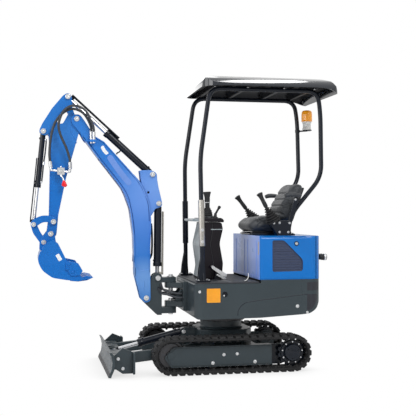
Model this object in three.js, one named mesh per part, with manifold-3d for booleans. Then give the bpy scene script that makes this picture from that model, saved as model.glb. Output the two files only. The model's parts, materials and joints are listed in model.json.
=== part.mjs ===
// A one-tonne class mini excavator on rubber tracks, with a canopy, a slewing house,
// a swinging boom, arm, bucket and a dozer blade.
// Millimetres, +X forward, +Y to the machine's left, +Z up. While the machine is laid out,
// x = 0 is the slew axis and z = 0 is the ground; the whole is then moved back by originAhead.
import * as THREE from "three";
import { mergeVertices } from "three/addons/utils/BufferGeometryUtils.js";
import Module from "manifold-3d";

const wasm = await Module();
wasm.setup();

// ---------------------------------------------------------------- driving dimensions
const originAhead = 318; // from the slew axis forward to the middle of the parked machine
const fit = 0.3; // gap between fixed pieces that touch
const runFit = 0.5; // gap beside plates that turn against each other
const pinFit = 1; // radial room of a pin in its bore

// Undercarriage
const trackOuterY = 465; // outer face of each track
const trackWidth = 180;
const wheelBase = 910; // idler axle to sprocket axle
const beltRadius = 137; // ground to axle height, over the lugs
const beltThickness = 30; // lug tip to inner face
const lugHeight = 14;
const lugCount = 46;
const beamTop = 199;
const beamBottom = 50;
const beamInnerY = 330;
const beamOuterY = 402;
const rollerRadius = 36;
const ringRadius = 190;
const ringTop = 390;

// Dozer blade
const bladeX = 893; // back of the mouldboard's lower edge
const bladeHeight = 185;
const bladeHalfWidth = 463;
const bladePivot = [330, 150];
const bladeArmY = 235;
const bladeArmThickness = 40;
const bladeRamBase = [300, 262];
const bladeRamEnd = [832, 131];

// House
const houseHalfWidth = 440;
const houseFront = 286;
const houseRear = -675;
const houseBottom = 402;
const deckTop = 656;
const matThickness = 12;
const tubWall = 16;
const counterweightFront = -520;
const frontCorner = 70;
const rearCorner = 110;

// Engine hood
const hoodHalfWidth = 430;
const hoodFront = -200;
const hoodSeam = -634; // where the rear door begins
const hoodBottom = 680;
const hoodTop = 1003;
const hoodWall = 8;
const doorHingeX = -646;
const doorHingeY = -404;

// Boom swing post
const swingX = 395;
const postRear = 470;
const postPlateOuter = 45.5;
const postPlateInner = 28;
const upperLug = [641, 680];
const lowerLug = [405, 454];
const swingPinRadius = 17;
const lugEndRadius = 40;

// Working equipment pins, as [x, z]
const boomFoot = [591, 527];
const boomRamPost = [500, 676];
const boomRamBracket = [494, 1245];
const armRamBracket = [542, 1466];
const armPivot = [1115, 1876];
const armRamEnd = [1180, 2042];
const bucketRamBase = [1360, 1780];
const rockerEnd = [1430, 1087];
const rockerPivot = [1285, 1107];
const bucketPivot = [1305, 1017];
const bucketLinkPin = [1356, 955];

const boomHalf = 58; // half widths along Y
const forkInner = 46;
const bracketInner = 34;
const armHalf = 45;
const earThickness = 12;
const linkInner = 25;
const pinRadius = 15;
const headRadius = 20;
const headHeight = 8;
const bucketHalf = 200;
const bucketWall = 9;

// Canopy
const tubeRadius = 17;
const sleeveRadius = 23;
const railZ = 2100;
const roofHalf = 425;
const roofTop = 2239;
const roofWall = 12;

// ---------------------------------------------------------------- finishes
const finish = (color, roughness, metalness) =>
  new THREE.MeshStandardMaterial({ color, roughness, metalness });
const bluePaint = finish(0x1a63c8, 0.35, 0.1);
const slatePaint = finish(0x3b454b, 0.5, 0.2);
const blackPaint = finish(0x15171a, 0.4, 0.3);
const blackGloss = finish(0x0d0f12, 0.15, 0.1);
const blackPlastic = finish(0x1c1d1f, 0.6, 0);
const rubber = finish(0x1b1c1d, 0.85, 0);
const chrome = finish(0xd8dbde, 0.12, 1);
const zinc = finish(0xc4c7c9, 0.35, 0.9);
const seatVinyl = finish(0x2c3034, 0.6, 0);
const iron = finish(0x4a4d50, 0.6, 0.6);
const amber = finish(0xf28a12, 0.2, 0);
const whitePlastic = finish(0xe4e4e0, 0.4, 0);
const redVinyl = finish(0xd8242c, 0.5, 0);

// ---------------------------------------------------------------- solids
const axisX = new THREE.Vector3(1, 0, 0);
const axisY = new THREE.Vector3(0, 1, 0);
const axisZ = new THREE.Vector3(0, 0, 1);

// A closed three.js geometry as a manifold-3d solid.
function solidOf(geometry) {
  const bare = geometry.clone();
  for (const name of Object.keys(bare.attributes)) {
    if (name !== "position") bare.deleteAttribute(name);
  }
  const merged = mergeVertices(bare, 1e-4);
  const triangles = [];
  const index = merged.index.array;
  for (let i = 0; i < index.length; i += 3) {
    const [a, b, c] = [index[i], index[i + 1], index[i + 2]];
    if (a !== b && b !== c && c !== a) triangles.push([a, b, c]);
  }
  const build = (list) =>
    new wasm.Manifold(
      new wasm.Mesh({
        numProp: 3,
        vertProperties: Float32Array.from(merged.attributes.position.array),
        triVerts: Uint32Array.from(list.flat()),
      }),
    );
  const solid = build(triangles);
  return solid.volume() > 0 ? solid : build(triangles.map(([a, b, c]) => [a, c, b]));
}

const join = (first, ...rest) => rest.reduce((sum, next) => sum.add(next), first);
const cut = (first, ...rest) => rest.reduce((left, next) => left.subtract(next), first);

// Corners [a, b, radius] become points, each corner with a radius rounded by an arc.
function rounded(corners) {
  const points = [];
  corners.forEach(([a, b, radius = 0], i) => {
    const here = new THREE.Vector2(a, b);
    if (radius === 0) {
      points.push(here);
      return;
    }
    const before = corners[(i + corners.length - 1) % corners.length];
    const after = corners[(i + 1) % corners.length];
    const back = new THREE.Vector2(before[0], before[1]).sub(here);
    const ahead = new THREE.Vector2(after[0], after[1]).sub(here);
    const room = 0.49 * Math.min(back.length(), ahead.length());
    back.normalize();
    ahead.normalize();
    const half = Math.acos(THREE.MathUtils.clamp(back.dot(ahead), -1, 1)) / 2;
    const reach = Math.min(radius / Math.tan(half), room);
    const r = reach * Math.tan(half);
    const centre = back.clone().add(ahead).normalize();
    centre.multiplyScalar(r / Math.sin(half)).add(here);
    const start = back.multiplyScalar(reach).add(here).sub(centre);
    const end = ahead.multiplyScalar(reach).add(here).sub(centre);
    const from = start.angle();
    let sweep = end.angle() - from;
    if (sweep > Math.PI) sweep -= 2 * Math.PI;
    if (sweep < -Math.PI) sweep += 2 * Math.PI;
    const steps = Math.max(1, Math.ceil(Math.abs(sweep) / 0.8));
    for (let k = 0; k <= steps; k += 1) {
      const angle = from + (sweep * k) / steps;
      const spoke = new THREE.Vector2(Math.cos(angle), Math.sin(angle));
      points.push(spoke.multiplyScalar(r).add(centre));
    }
  });
  return points;
}

// An outline drawn on the plane of across and up, extruded between two distances from it.
function extrude(corners, across, up, low, high, holes = []) {
  const shape = new THREE.Shape(rounded(corners));
  for (const hole of holes) shape.holes.push(new THREE.Path(rounded(hole)));
  const normal = across.clone().cross(up);
  const geometry = new THREE.ExtrudeGeometry(shape, { depth: high - low, bevelEnabled: false });
  geometry.translate(0, 0, low);
  geometry.applyMatrix4(new THREE.Matrix4().makeBasis(across, up, normal));
  return solidOf(geometry);
}
// [x, z] outline between two Y values, [x, y] between two Z values, [y, z] between two X values.
const sideCut = (corners, y0, y1, holes) =>
  extrude(corners, axisX, axisZ, -Math.max(y0, y1), -Math.min(y0, y1), holes);
const planCut = (corners, z0, z1) => extrude(corners, axisX, axisY, z0, z1);
const frontCut = (corners, x0, x1) => extrude(corners, axisY, axisZ, x0, x1);

function box(x0, x1, y0, y1, z0, z1) {
  const geometry = new THREE.BoxGeometry(x1 - x0, Math.abs(y1 - y0), z1 - z0);
  geometry.translate((x0 + x1) / 2, (y0 + y1) / 2, (z0 + z1) / 2);
  return solidOf(geometry);
}

const at = (x, y, z) => new THREE.Vector3(x, y, z);
// The point [x, z] of a pin's centre, at y.
const pinPoint = ([x, z], y = 0) => at(x, y, z);

// Moves a geometry made along +Y so that it starts at one point and runs towards another.
function aim(geometry, from, to) {
  const along = to.clone().sub(from).normalize();
  geometry.applyQuaternion(new THREE.Quaternion().setFromUnitVectors(axisY, along));
  return geometry.translate(from.x, from.y, from.z);
}

// A round bar or cone between two points.
function bar(from, to, radius, sides = 12, endRadius = radius) {
  const length = from.distanceTo(to);
  const geometry = new THREE.CylinderGeometry(endRadius, radius, length, sides);
  geometry.translate(0, length / 2, 0);
  return solidOf(aim(geometry, from, to));
}
const pin = (centre, radius, y0, y1, sides = 12) =>
  bar(pinPoint(centre, Math.min(y0, y1)), pinPoint(centre, Math.max(y0, y1)), radius, sides);
const post = (x, y, radius, z0, z1, sides = 12) => bar(at(x, y, z0), at(x, y, z1), radius, sides);

// A profile of [radius, distance] turned about the line from one point towards another.
function turned(profile, from, to, sides = 12) {
  const points = profile.map(([r, d]) => new THREE.Vector2(r, d));
  return solidOf(aim(new THREE.LatheGeometry(points, sides), from, to));
}

// Straight runs through the corners, each bend rounded over the given reach along both runs.
class BentPath extends THREE.Curve {
  constructor(corners, reach, bendSteps = 3) {
    super();
    this.points = [corners[0]];
    for (let i = 1; i + 1 < corners.length; i += 1) {
      const toward = (other) => {
        const run = other.clone().sub(corners[i]);
        const used = Math.min(reach, 0.45 * run.length());
        return run.setLength(used).add(corners[i]);
      };
      const bend = new THREE.QuadraticBezierCurve3(
        toward(corners[i - 1]),
        corners[i],
        toward(corners[i + 1]),
      );
      this.points.push(...bend.getPoints(bendSteps));
    }
    this.points.push(corners[corners.length - 1]);
  }

  getSpacedPoints() {
    return this.points;
  }

  getPointAt(share) {
    return this.points[Math.round(share * (this.points.length - 1))].clone();
  }

  getTangentAt(share) {
    const i = Math.round(share * (this.points.length - 1));
    const before = this.points[Math.max(i - 1, 0)];
    const after = this.points[Math.min(i + 1, this.points.length - 1)];
    return after.clone().sub(before).normalize();
  }
}

const circle = (radius) => {
  const shape = new THREE.Shape();
  shape.absarc(0, 0, radius, 0, 2 * Math.PI);
  return shape;
};

// A bent round tube, solid through, with eight sides.
function pipe(corners, radius, reach = 90) {
  const extrudePath = new BentPath(corners, reach);
  const steps = extrudePath.points.length - 1;
  return solidOf(
    new THREE.ExtrudeGeometry(circle(radius), { steps, curveSegments: 4, extrudePath }),
  );
}

// A hose along one smooth curve through the points.
function hose(points, radius, steps) {
  const geometry = new THREE.ExtrudeGeometry(circle(radius), {
    steps,
    curveSegments: 4,
    extrudePath: new THREE.CatmullRomCurve3(points, false, "centripetal"),
  });
  return solidOf(geometry);
}

// The same solid on both sides of the centre plane; make gets 1 for the left and -1 for the right.
const bothSides = (make) => join(make(1), make(-1));
const sides = [
  ["left", 1],
  ["right", -1],
];

const machine = new THREE.Group();
machine.position.x = -originAhead;

function piece(name, solid, material) {
  const mesh = solid.getMesh();
  const geometry = new THREE.BufferGeometry();
  geometry.setAttribute("position", new THREE.BufferAttribute(mesh.vertProperties, 3));
  geometry.setIndex(new THREE.BufferAttribute(mesh.triVerts, 1));
  geometry.computeVertexNormals();
  const part = new THREE.Mesh(geometry, material);
  part.name = name;
  machine.add(part);
}

// Round heads of a pin on both outer faces at y = ±face.
const pinHeads = (centre, face, radius = headRadius) =>
  bothSides((s) => pin(centre, radius, s * (face - 1), s * (face + headHeight)));

// ---------------------------------------------------------------- undercarriage
const axleX = wheelBase / 2;
const axleZ = beltRadius;
const trackInnerY = trackOuterY - trackWidth;
const beltInside = beltRadius - beltThickness;
const beltArcSteps = 9;
// Wheels inside the belt clear the flats between its corners.
const wheelRadius = beltInside * Math.cos(Math.PI / (2 * beltArcSteps)) - fit;

// The point at a distance along the loop round both axles, inset from the lug tips.
function beltPoint(distance, inset) {
  const arc = Math.PI * beltRadius;
  const loop = 2 * (wheelBase + arc);
  let d = ((distance % loop) + loop) % loop;
  const r = beltRadius - inset;
  if (d < wheelBase) return [axleX - d, axleZ + r];
  d -= wheelBase;
  if (d < arc) {
    const angle = Math.PI / 2 + d / beltRadius;
    return [-axleX + r * Math.cos(angle), axleZ + r * Math.sin(angle)];
  }
  d -= arc;
  if (d < wheelBase) return [-axleX + d, axleZ - r];
  const angle = (3 * Math.PI) / 2 + (d - wheelBase) / beltRadius;
  return [axleX + r * Math.cos(angle), axleZ + r * Math.sin(angle)];
}

function trackOutline() {
  const pitch = (2 * (wheelBase + Math.PI * beltRadius)) / lugCount;
  const lugSteps = [
    [0, lugHeight],
    [0.12, 0],
    [0.56, 0],
    [0.68, lugHeight],
  ];
  const corners = [];
  for (let lug = 0; lug < lugCount; lug += 1) {
    for (const [share, inset] of lugSteps) {
      corners.push(beltPoint((lug + share) * pitch, inset));
    }
  }
  return corners;
}

// A straight-sided loop with round ends, as [x, z] corners.
function stadium(radius, arcSteps = beltArcSteps) {
  const corners = [];
  for (const end of [1, -1]) {
    for (let k = 0; k <= arcSteps; k += 1) {
      const angle = -Math.PI / 2 + (Math.PI * k) / arcSteps;
      corners.push([end * (axleX + radius * Math.cos(angle)), axleZ + end * radius * Math.sin(angle)]);
    }
  }
  return corners;
}

const motorHouseY = [300, 345];
const sprocketY = [346, 404];
const hubFaceY = 432;
const beamFrontX = axleX + 52;
const beamRearX = 155 - axleX;
const idlerY = [343, 389];
const rollerX = [axleX - 307, 285 - axleX];

function toothedWheel(radius, teeth, depth) {
  const corners = [];
  for (let tooth = 0; tooth < teeth; tooth += 1) {
    for (const [share, drop] of [
      [0, depth],
      [0.25, 0],
      [0.5, 0],
      [0.75, depth],
    ]) {
      const angle = (2 * Math.PI * (tooth + share)) / teeth;
      const r = radius - drop;
      corners.push([-axleX + r * Math.cos(angle), axleZ + r * Math.sin(angle)]);
    }
  }
  return corners;
}

for (const [hand, s] of sides) {
  const belt = sideCut(trackOutline(), s * trackInnerY, s * trackOuterY, [stadium(beltInside)]);
  piece(`track_${hand}`, belt, rubber);

  const beam = sideCut(
    [
      [axleX - 7, 188, 12],
      [beamFrontX, 124, 20],
      [axleX - 2, beamBottom, 12],
      [beamRearX, beamBottom],
      [beamRearX, beamTop],
      [axleX - 25, beamTop, 12],
    ],
    s * beamInnerY,
    s * beamOuterY,
  );
  const idlerRoom = pin([axleX, axleZ], beltInside + 6, s * (idlerY[0] - 3), s * (idlerY[1] + 3), 24);
  const rollers = rollerX.map((x) => {
    const centre = [x, beltThickness + rollerRadius + fit];
    return join(
      pin(centre, rollerRadius, s * (beamInnerY - 12), s * (beamOuterY + 12)),
      pin(centre, 16, s * (beamOuterY + 10), s * (beamOuterY + 20), 12),
    );
  });
  const motorPlate = sideCut(
    [
      [-axleX - 70, axleZ - 50, 40],
      [-axleX - 70, axleZ + 50, 40],
      [-axleX + 20, axleZ + 62],
      [beamRearX + 20, beamTop - 6],
      [beamRearX + 20, beamBottom + 6],
      [-axleX + 20, axleZ - 62],
    ],
    s * beamInnerY,
    s * (beamInnerY + 10),
  );
  const frame = join(
    cut(beam, idlerRoom),
    pin([axleX, axleZ], 20, s * beamInnerY, s * beamOuterY),
    ...rollers,
    motorPlate,
    pin([-axleX, axleZ], 72, s * motorHouseY[0], s * motorHouseY[1], 20),
  );
  piece(`track_frame_${hand}`, frame, slatePaint);

  const idler = cut(
    join(
      pin([axleX, axleZ], wheelRadius, s * (idlerY[0] + 12), s * (idlerY[1] - 12), 24),
      pin([axleX, axleZ], beltInside - 16, s * idlerY[0], s * idlerY[1], 16),
    ),
    pin([axleX, axleZ], 20 + runFit, s * (idlerY[0] - 5), s * (idlerY[1] + 5)),
  );
  piece(`idler_${hand}`, idler, iron);

  const sprocket = join(
    sideCut(toothedWheel(wheelRadius, 13, 14), s * (sprocketY[0] + 16), s * (sprocketY[1] - 12)),
    pin([-axleX, axleZ], 86, s * sprocketY[0], s * sprocketY[1], 20),
    pin([-axleX, axleZ], 62, s * sprocketY[1], s * hubFaceY, 20),
  );
  piece(`sprocket_${hand}`, sprocket, blackPaint);
}

const bladeLugY = bladeArmY - 3;
const carBodyTop = 290;
const bladeRamEye = 29;
{
  const turret = join(
    planCut(
      [
        [200, -150, 60],
        [200, 150, 60],
        [130, 215, 40],
        [-150, 215, 60],
        [-215, 120, 60],
        [-215, -120, 60],
        [-150, -215, 60],
        [130, -215, 40],
      ],
      140,
      carBodyTop,
    ),
    post(0, 0, 160, carBodyTop - 1, 352 - fit, 24),
    ...[155, -155].map((x) => box(x - 45, x + 45, -beamInnerY + fit, beamInnerY - fit, 120, 196)),
  );
  const bladeLugs = bothSides((s) =>
    join(
      sideCut(
        [
          [150, 125],
          [320, 118, 30],
          [362, 150, 30],
          [330, 190, 30],
          [150, 215],
        ],
        s * (bladeLugY - 18),
        s * bladeLugY,
      ),
      box(150, 200, s * 120, s * (bladeLugY - 1), 140, 196),
      pin(bladePivot, pinRadius, s * (bladeLugY - 1), s * (bladeArmY + bladeArmThickness + 4)),
    ),
  );
  const ramLugs = bothSides((s) =>
    sideCut(
      [
        [170, 200],
        [300, 200, 40],
        [326, 262, 26],
        [290, 290, 26],
        [170, carBodyTop],
      ],
      s * (bladeRamEye + runFit),
      s * (bladeRamEye + runFit + 14),
    ),
  );
  const ramPin = pin(bladeRamBase, 12, -(bladeRamEye + 18), bladeRamEye + 18);
  piece("car_body", join(turret, bladeLugs, ramLugs, ramPin), slatePaint);
}

piece(
  "slew_ring",
  cut(post(0, 0, ringRadius, 352, ringTop, 32), post(0, 0, 120, 300, 500, 24)),
  iron,
);

// ---------------------------------------------------------------- hydraulic rams
// A ram lies between its base pin and its rod pin. along() gives a point on its axis.
function makeRam({ base, end, barrelRadius, rodRadius, gland, stroke, eyeRadius, eyeHalf, basePin }) {
  const from = pinPoint(base);
  const to = pinPoint(end);
  const length = from.distanceTo(to);
  const along = (distance) => from.clone().lerp(to, distance / length);
  const boreStart = eyeRadius + 16;
  const glandLength = 26;
  const barrel = cut(
    join(
      turned(
        [
          [0, eyeRadius - 6],
          [barrelRadius, eyeRadius - 6],
          [barrelRadius, gland - glandLength],
          [barrelRadius + 4, gland - glandLength],
          [barrelRadius + 4, gland],
          [rodRadius + runFit, gland],
          [rodRadius + runFit, boreStart],
          [0, boreStart],
        ],
        from,
        to,
      ),
      pin(base, eyeRadius, -eyeHalf, eyeHalf),
    ),
    pin(base, basePin + pinFit, -eyeHalf - 1, eyeHalf + 1),
  );
  const rod = join(
    bar(along(boreStart + stroke + 4), along(length - eyeRadius + 6), rodRadius),
    pin(end, eyeRadius - 2, -eyeHalf, eyeHalf),
  );
  return { barrel, rod, along, length };
}

// A flat guard strip beside a ram, on the line from one point to another and offset from it.
function guardStrip(from, to, offset, thickness, halfWidth) {
  const along = to.clone().sub(from);
  const side = at(-along.z, 0, along.x).normalize();
  const corner = (point, d) => {
    const moved = point.clone().addScaledVector(side, d);
    return [moved.x, moved.z];
  };
  return sideCut(
    [
      corner(from, offset),
      corner(to, offset),
      corner(to, offset + thickness),
      corner(from, offset + thickness),
    ],
    -halfWidth,
    halfWidth,
  );
}

// ---------------------------------------------------------------- dozer blade
{
  const mouldboard = sideCut(
    [
      [bladeX, 5],
      [bladeX + 22, 8],
      [bladeX - 2, 62, 30],
      [bladeX - 8, 110, 30],
      [bladeX + 2, 160, 20],
      [bladeX + 14, bladeHeight],
      [bladeX - 4, bladeHeight - 2],
      [bladeX - 22, 160, 20],
      [bladeX - 30, 110, 30],
      [bladeX - 22, 58, 30],
    ],
    -bladeHalfWidth,
    bladeHalfWidth,
  );
  const arms = bothSides((s) =>
    cut(
      join(
        sideCut(
          [
            [300, 118, 30],
            [bladeX - 20, 60],
            [bladeX - 20, 140],
            [352, 190, 30],
            [300, 184, 30],
          ],
          s * bladeArmY,
          s * (bladeArmY + bladeArmThickness),
        ),
        box(bladeX - 110, bladeX - 18, s * bladeArmY, s * 380, 50, 150),
      ),
      pin(bladePivot, pinRadius + pinFit, s * (bladeArmY - 5), s * (bladeArmY + bladeArmThickness + 5)),
    ),
  );
  // Bolt-on end plates that widen the blade, carried behind it.
  const wings = bothSides((s) =>
    join(
      sideCut(
        [
          [735, 20],
          [806, 20, 8],
          [870, 62],
          [870, 150],
          [806, 205, 8],
          [735, 175],
        ],
        s * 378,
        s * 392,
      ),
      sideCut(
        [
          [722, 26],
          [736, 20],
          [736, 178],
          [722, 172],
        ],
        s * 378,
        s * 452,
      ),
    ),
  );
  const crossBeam = sideCut(
    [
      [bladeX - 110, 60],
      [bladeX - 20, 50],
      [bladeX - 22, 148],
      [bladeX - 110, 140],
    ],
    -300,
    300,
  );
  const ramEyeRoom = box(bladeX - 120, bladeX - 22, -bladeRamEye - 1, bladeRamEye + 1, 40, 200);
  const ramLugs = bothSides((s) =>
    sideCut(
      [
        [bladeX - 92, 60],
        [bladeX - 22, 60],
        [bladeX - 22, 158],
        [bladeX - 60, 164, 20],
        [bladeX - 92, 130, 20],
      ],
      s * (bladeRamEye + runFit),
      s * 44,
    ),
  );
  const heads = pinHeads(bladeRamEnd, 44, 14);
  piece("blade", join(mouldboard, arms, wings, cut(crossBeam, ramEyeRoom), ramLugs, heads), slatePaint);

  const ram = makeRam({
    base: bladeRamBase,
    end: bladeRamEnd,
    barrelRadius: 29,
    rodRadius: 14,
    gland: 360,
    stroke: 90,
    eyeRadius: 26,
    eyeHalf: bladeRamEye,
    basePin: 12,
  });
  piece("blade_ram_barrel", ram.barrel, blackPaint);
  piece("blade_ram_rod", ram.rod, chrome);
}

// ---------------------------------------------------------------- house
// A plan outline of the house, inset from its outer face.
function housePlan(inset, front = houseFront, rear = houseRear, half = houseHalfWidth) {
  return [
    [front - inset, half - inset, frontCorner - inset],
    [rear + inset, half - inset, rearCorner - inset],
    [rear + inset, -half + inset, rearCorner - inset],
    [front - inset, -half + inset, frontCorner - inset],
  ];
}

const matTop = deckTop + fit + matThickness;
const sillTop = hoodBottom - fit;
{
  const skirt = sideCut(
    [
      [houseFront, deckTop, 10],
      [houseFront, houseBottom - 4, 26],
      [-200, houseBottom],
      [counterweightFront, houseBottom + 18],
      [counterweightFront, sillTop],
      [hoodFront - 8, sillTop],
      [hoodFront - 8, deckTop],
    ],
    -houseHalfWidth,
    houseHalfWidth,
  ).intersect(planCut(housePlan(0), 300, 800));
  const hollow = planCut(
    housePlan(tubWall, houseFront, counterweightFront - 200),
    houseBottom + 28,
    800,
  ).intersect(box(counterweightFront + tubWall, 400, -600, 600, 300, 900));
  // The deck plate closes the front of the tub under the floor mat.
  const deck = planCut(housePlan(tubWall / 2), deckTop - 6, deckTop).intersect(
    box(hoodFront - 6, 400, -600, 600, 0, 900),
  );
  const turntable = post(0, 0, ringRadius - 12, ringTop + fit, houseBottom + 20, 32);
  const nosePlate = (z0, z1) =>
    planCut(
      [
        [houseFront - 40, -120],
        [swingX, -lugEndRadius - 4],
        [swingX + lugEndRadius, -lugEndRadius - 4, 44],
        [swingX + lugEndRadius, lugEndRadius + 4, 44],
        [swingX, lugEndRadius + 4],
        [houseFront - 40, 120],
      ],
      z0,
      z1,
    );
  const nose = join(
    nosePlate(598, upperLug[0] - runFit),
    nosePlate(lowerLug[1] + runFit, 500),
    box(houseFront - 24, houseFront + 34, -130, 130, 430, deckTop - 4),
  );
  const pinBores = post(swingX, 0, swingPinRadius + pinFit, 300, 800);
  const house = cut(join(cut(skirt, hollow), deck, turntable, nose), pinBores);
  piece("house_frame", house, slatePaint);

  const weight = sideCut(
    [
      [counterweightFront - fit, houseBottom + 18],
      [-540, houseBottom + 20, 30],
      [-640, 540, 50],
      [houseRear, 610, 30],
      [houseRear, sillTop],
      [counterweightFront - fit, sillTop],
    ],
    -houseHalfWidth,
    houseHalfWidth,
  ).intersect(planCut(housePlan(0), 300, 800));
  const weightHollow = box(-640, counterweightFront + 10, -330, 330, 560, 800);
  piece("counterweight", cut(weight, weightHollow), slatePaint);

  const mat = planCut(housePlan(12), deckTop + fit, matTop).intersect(
    box(hoodFront + 2, 400, -600, 600, 0, 900),
  );
  piece("floor_mat", mat, rubber);
}

// ---------------------------------------------------------------- engine hood
const ventOutline = [
  [-296, 971, 12],
  [-386, 970, 30],
  [-532, 825, 30],
  [-532, 741, 16],
  [-296, 737, 12],
];
{
  const shell = (inset, top) =>
    planCut(
      [
        [hoodFront - inset, hoodHalfWidth - inset, 22 - inset],
        [houseRear + inset, hoodHalfWidth - inset, rearCorner - 20 - inset],
        [houseRear + inset, -hoodHalfWidth + inset, rearCorner - 20 - inset],
        [hoodFront - inset, -hoodHalfWidth + inset, 22 - inset],
      ],
      hoodBottom - (inset > 0 ? 20 : 0),
      top,
    );
  const crown = (inset) =>
    frontCut(
      [
        [-hoodHalfWidth + inset, hoodBottom - 40],
        [hoodHalfWidth - inset, hoodBottom - 40],
        [hoodHalfWidth - inset, hoodTop - inset, 26 - inset],
        [-hoodHalfWidth + inset, hoodTop - inset, 26 - inset],
      ],
      -900,
      0,
    );
  const whole = cut(
    shell(0, hoodTop).intersect(crown(0)),
    shell(hoodWall, hoodTop).intersect(crown(hoodWall)),
  );
  const vents = bothSides((s) => sideCut(ventOutline, s * (hoodHalfWidth - 30), s * (hoodHalfWidth + 20)));
  const hood = cut(whole.intersect(box(hoodSeam, 0, -600, 600, 0, 1200)), vents);
  piece("engine_hood", hood, bluePaint);

  const swell = 6;
  for (const [hand, s] of sides) {
    const mesh = sideCut(
      ventOutline.map(([x, z, r]) => [x + (x > -400 ? -swell / 2 : swell / 2), z, r]),
      s * (hoodHalfWidth - hoodWall - 5),
      s * (hoodHalfWidth - hoodWall - fit),
    );
    piece(`vent_mesh_${hand}`, mesh, blackPlastic);
  }

  const doorGap = 6;
  const door = whole.intersect(box(-900, hoodSeam - doorGap, -600, 600, 0, 1200));
  const knuckles = [760, 930].map((z) => post(doorHingeX, doorHingeY, 9, z - 30, z + 30, 12));
  piece("rear_door", join(door, ...knuckles), bluePaint);

  // Two round lamps on a bracket at the middle of the rear door.
  const lampZ = 832;
  const lamps = join(
    box(houseRear - 66, houseRear - fit, 176, 200, lampZ - 10, lampZ + 6),
    box(houseRear - 74, houseRear - 58, 140, 236, lampZ - 12, lampZ + 8),
    ...[160, 216].map((y) => bar(at(houseRear - 118, y, lampZ), at(houseRear - 60, y, lampZ), 24, 20)),
  );
  piece("rear_lamps", lamps, blackPlastic);

  piece("engine_block", box(-498, -250, -230, 230, houseBottom + 28 + fit, 930), iron);
}

// ---------------------------------------------------------------- operator's place
{
  const seatX = -300;
  const joystickY = 275;
  const joystickDeck = 1116;
  const base = join(
    box(seatX - 130, seatX + 90, -170, 170, hoodTop + fit, hoodTop + 30),
    box(seatX - 100, seatX + 60, -140, 140, hoodTop + 29, hoodTop + 66),
  );
  piece("seat_base", base, blackPaint);

  const cushion = sideCut(
    [
      [-420, hoodTop + 66 + fit],
      [-180, hoodTop + 66 + fit, 30],
      [-165, hoodTop + 100, 30],
      [-225, 1122, 40],
      [-420, 1160, 20],
    ],
    -215,
    215,
  );
  piece("seat_cushion", cushion, seatVinyl);

  const back = sideCut(
    [
      [-428, 1102, 20],
      [-428, 1200, 60],
      [-540, 1395, 40],
      [-585, 1418, 30],
      [-640, 1400, 30],
      [-530, 1102, 40],
    ],
    -195,
    195,
  );
  piece("seat_back", back, seatVinyl);
  const backBracket = join(
    box(-560, -432, -60, 60, hoodTop + fit, hoodTop + 20),
    sideCut(
      [
        [-560, hoodTop + 10],
        [-500, hoodTop + 10],
        [-500, 1102 - fit],
        [-528, 1102 - fit],
      ],
      -60,
      60,
    ),
  );
  piece("seat_back_bracket", backBracket, blackPaint);

  for (const [hand, s] of sides) {
    const consoleBox = sideCut(
      [
        [-500, hoodTop + fit],
        [-345, hoodTop + fit],
        [-300, 1082, 10],
        [-306, joystickDeck, 10],
        [-480, joystickDeck, 12],
      ],
      s * 244,
      s * 306,
    );
    const armRest = join(
      sideCut(
        [
          [-572, 1294, 12],
          [-440, 1290, 12],
          [-440, 1322, 12],
          [-572, 1326, 12],
        ],
        s * 240,
        s * 306,
      ),
      sideCut(
        [
          [-500, 1100],
          [-466, 1100],
          [-520, 1300],
          [-560, 1300],
        ],
        s * 251,
        s * 272,
      ),
    );
    piece(`joystick_console_${hand}`, join(consoleBox, armRest), blackPlastic);

    const foot = at(-352, s * joystickY, joystickDeck + fit);
    const top = at(-262, s * joystickY, 1330);
    const lever = join(
      turned(
        [
          [0, 0],
          [30, 0],
          [27, 14],
          [30, 20],
          [24, 30],
          [28, 36],
          [16, 52],
          [0, 52],
        ],
        foot,
        foot.clone().add(axisZ),
        16,
      ),
      bar(foot.clone().add(at(12, 0, 42)), top, 9, 12, 15),
      bar(top.clone().add(at(-26, 0, -62)), top, 14, 12, 22),
    );
    piece(`joystick_${hand}`, lever, blackPlastic);
  }

  const consoleHalf = 160;
  const dash = join(
    sideCut(
      [
        [24, matTop + fit],
        [190, matTop + fit],
        [172, 760, 60],
        [196, 930, 80],
        [160, 1080, 30],
        [160, 1104],
        [26, 1104, 30],
        [16, 1050, 30],
        [42, 940, 80],
        [14, 790, 80],
      ],
      -consoleHalf,
      consoleHalf,
    ),
    sideCut(
      [
        [12, 1100],
        [250, 1108],
        [262, 1120, 8],
        [250, 1132, 8],
        [30, 1136, 20],
        [10, 1118, 8],
      ],
      -consoleHalf - 14,
      consoleHalf + 14,
    ),
  );
  piece("control_console", dash, blackGloss);

  const levers = join(
    box(60, 170, -80, 80, 1128, 1150),
    ...[-34, 34].map((y) =>
      join(
        bar(at(112, y, 1140), at(112, y, 1206), 30, 12, 14),
        bar(at(112, y, 1180), at(118, y, 1290), 9, 12),
        bar(at(117, y, 1268), at(119, y, 1338), 14, 12, 20),
      ),
    ),
  ).subtract(
    sideCut(
      [
        [12, 1080],
        [250, 1080],
        [250, 1132 + fit],
        [12, 1136 + fit],
      ],
      -200,
      200,
    ),
  );
  piece("travel_levers", levers, blackPlastic);

  const smallLever = join(
    bar(at(72, 128, 1136.6), at(66, 128, 1172), 18, 12, 9),
    bar(at(66, 128, 1168), at(32, 128, 1248), 6, 12, 9),
  ).subtract(box(0, 200, 0, 200, 1000, 1136 + fit));
  piece("blade_lever", smallLever, blackPlastic);

  for (const [hand, s] of sides) {
    const pedal = join(
      sideCut(
        [
          [10, 700],
          [120, 768],
          [112, 780],
          [4, 714],
        ],
        s * 176,
        s * 232,
      ),
      sideCut(
        [
          [40, matTop + fit],
          [96, matTop + fit],
          [80, 745],
          [52, 727],
        ],
        s * 192,
        s * 216,
      ),
    );
    piece(`foot_pedal_${hand}`, pedal, zinc);
  }
}

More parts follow.
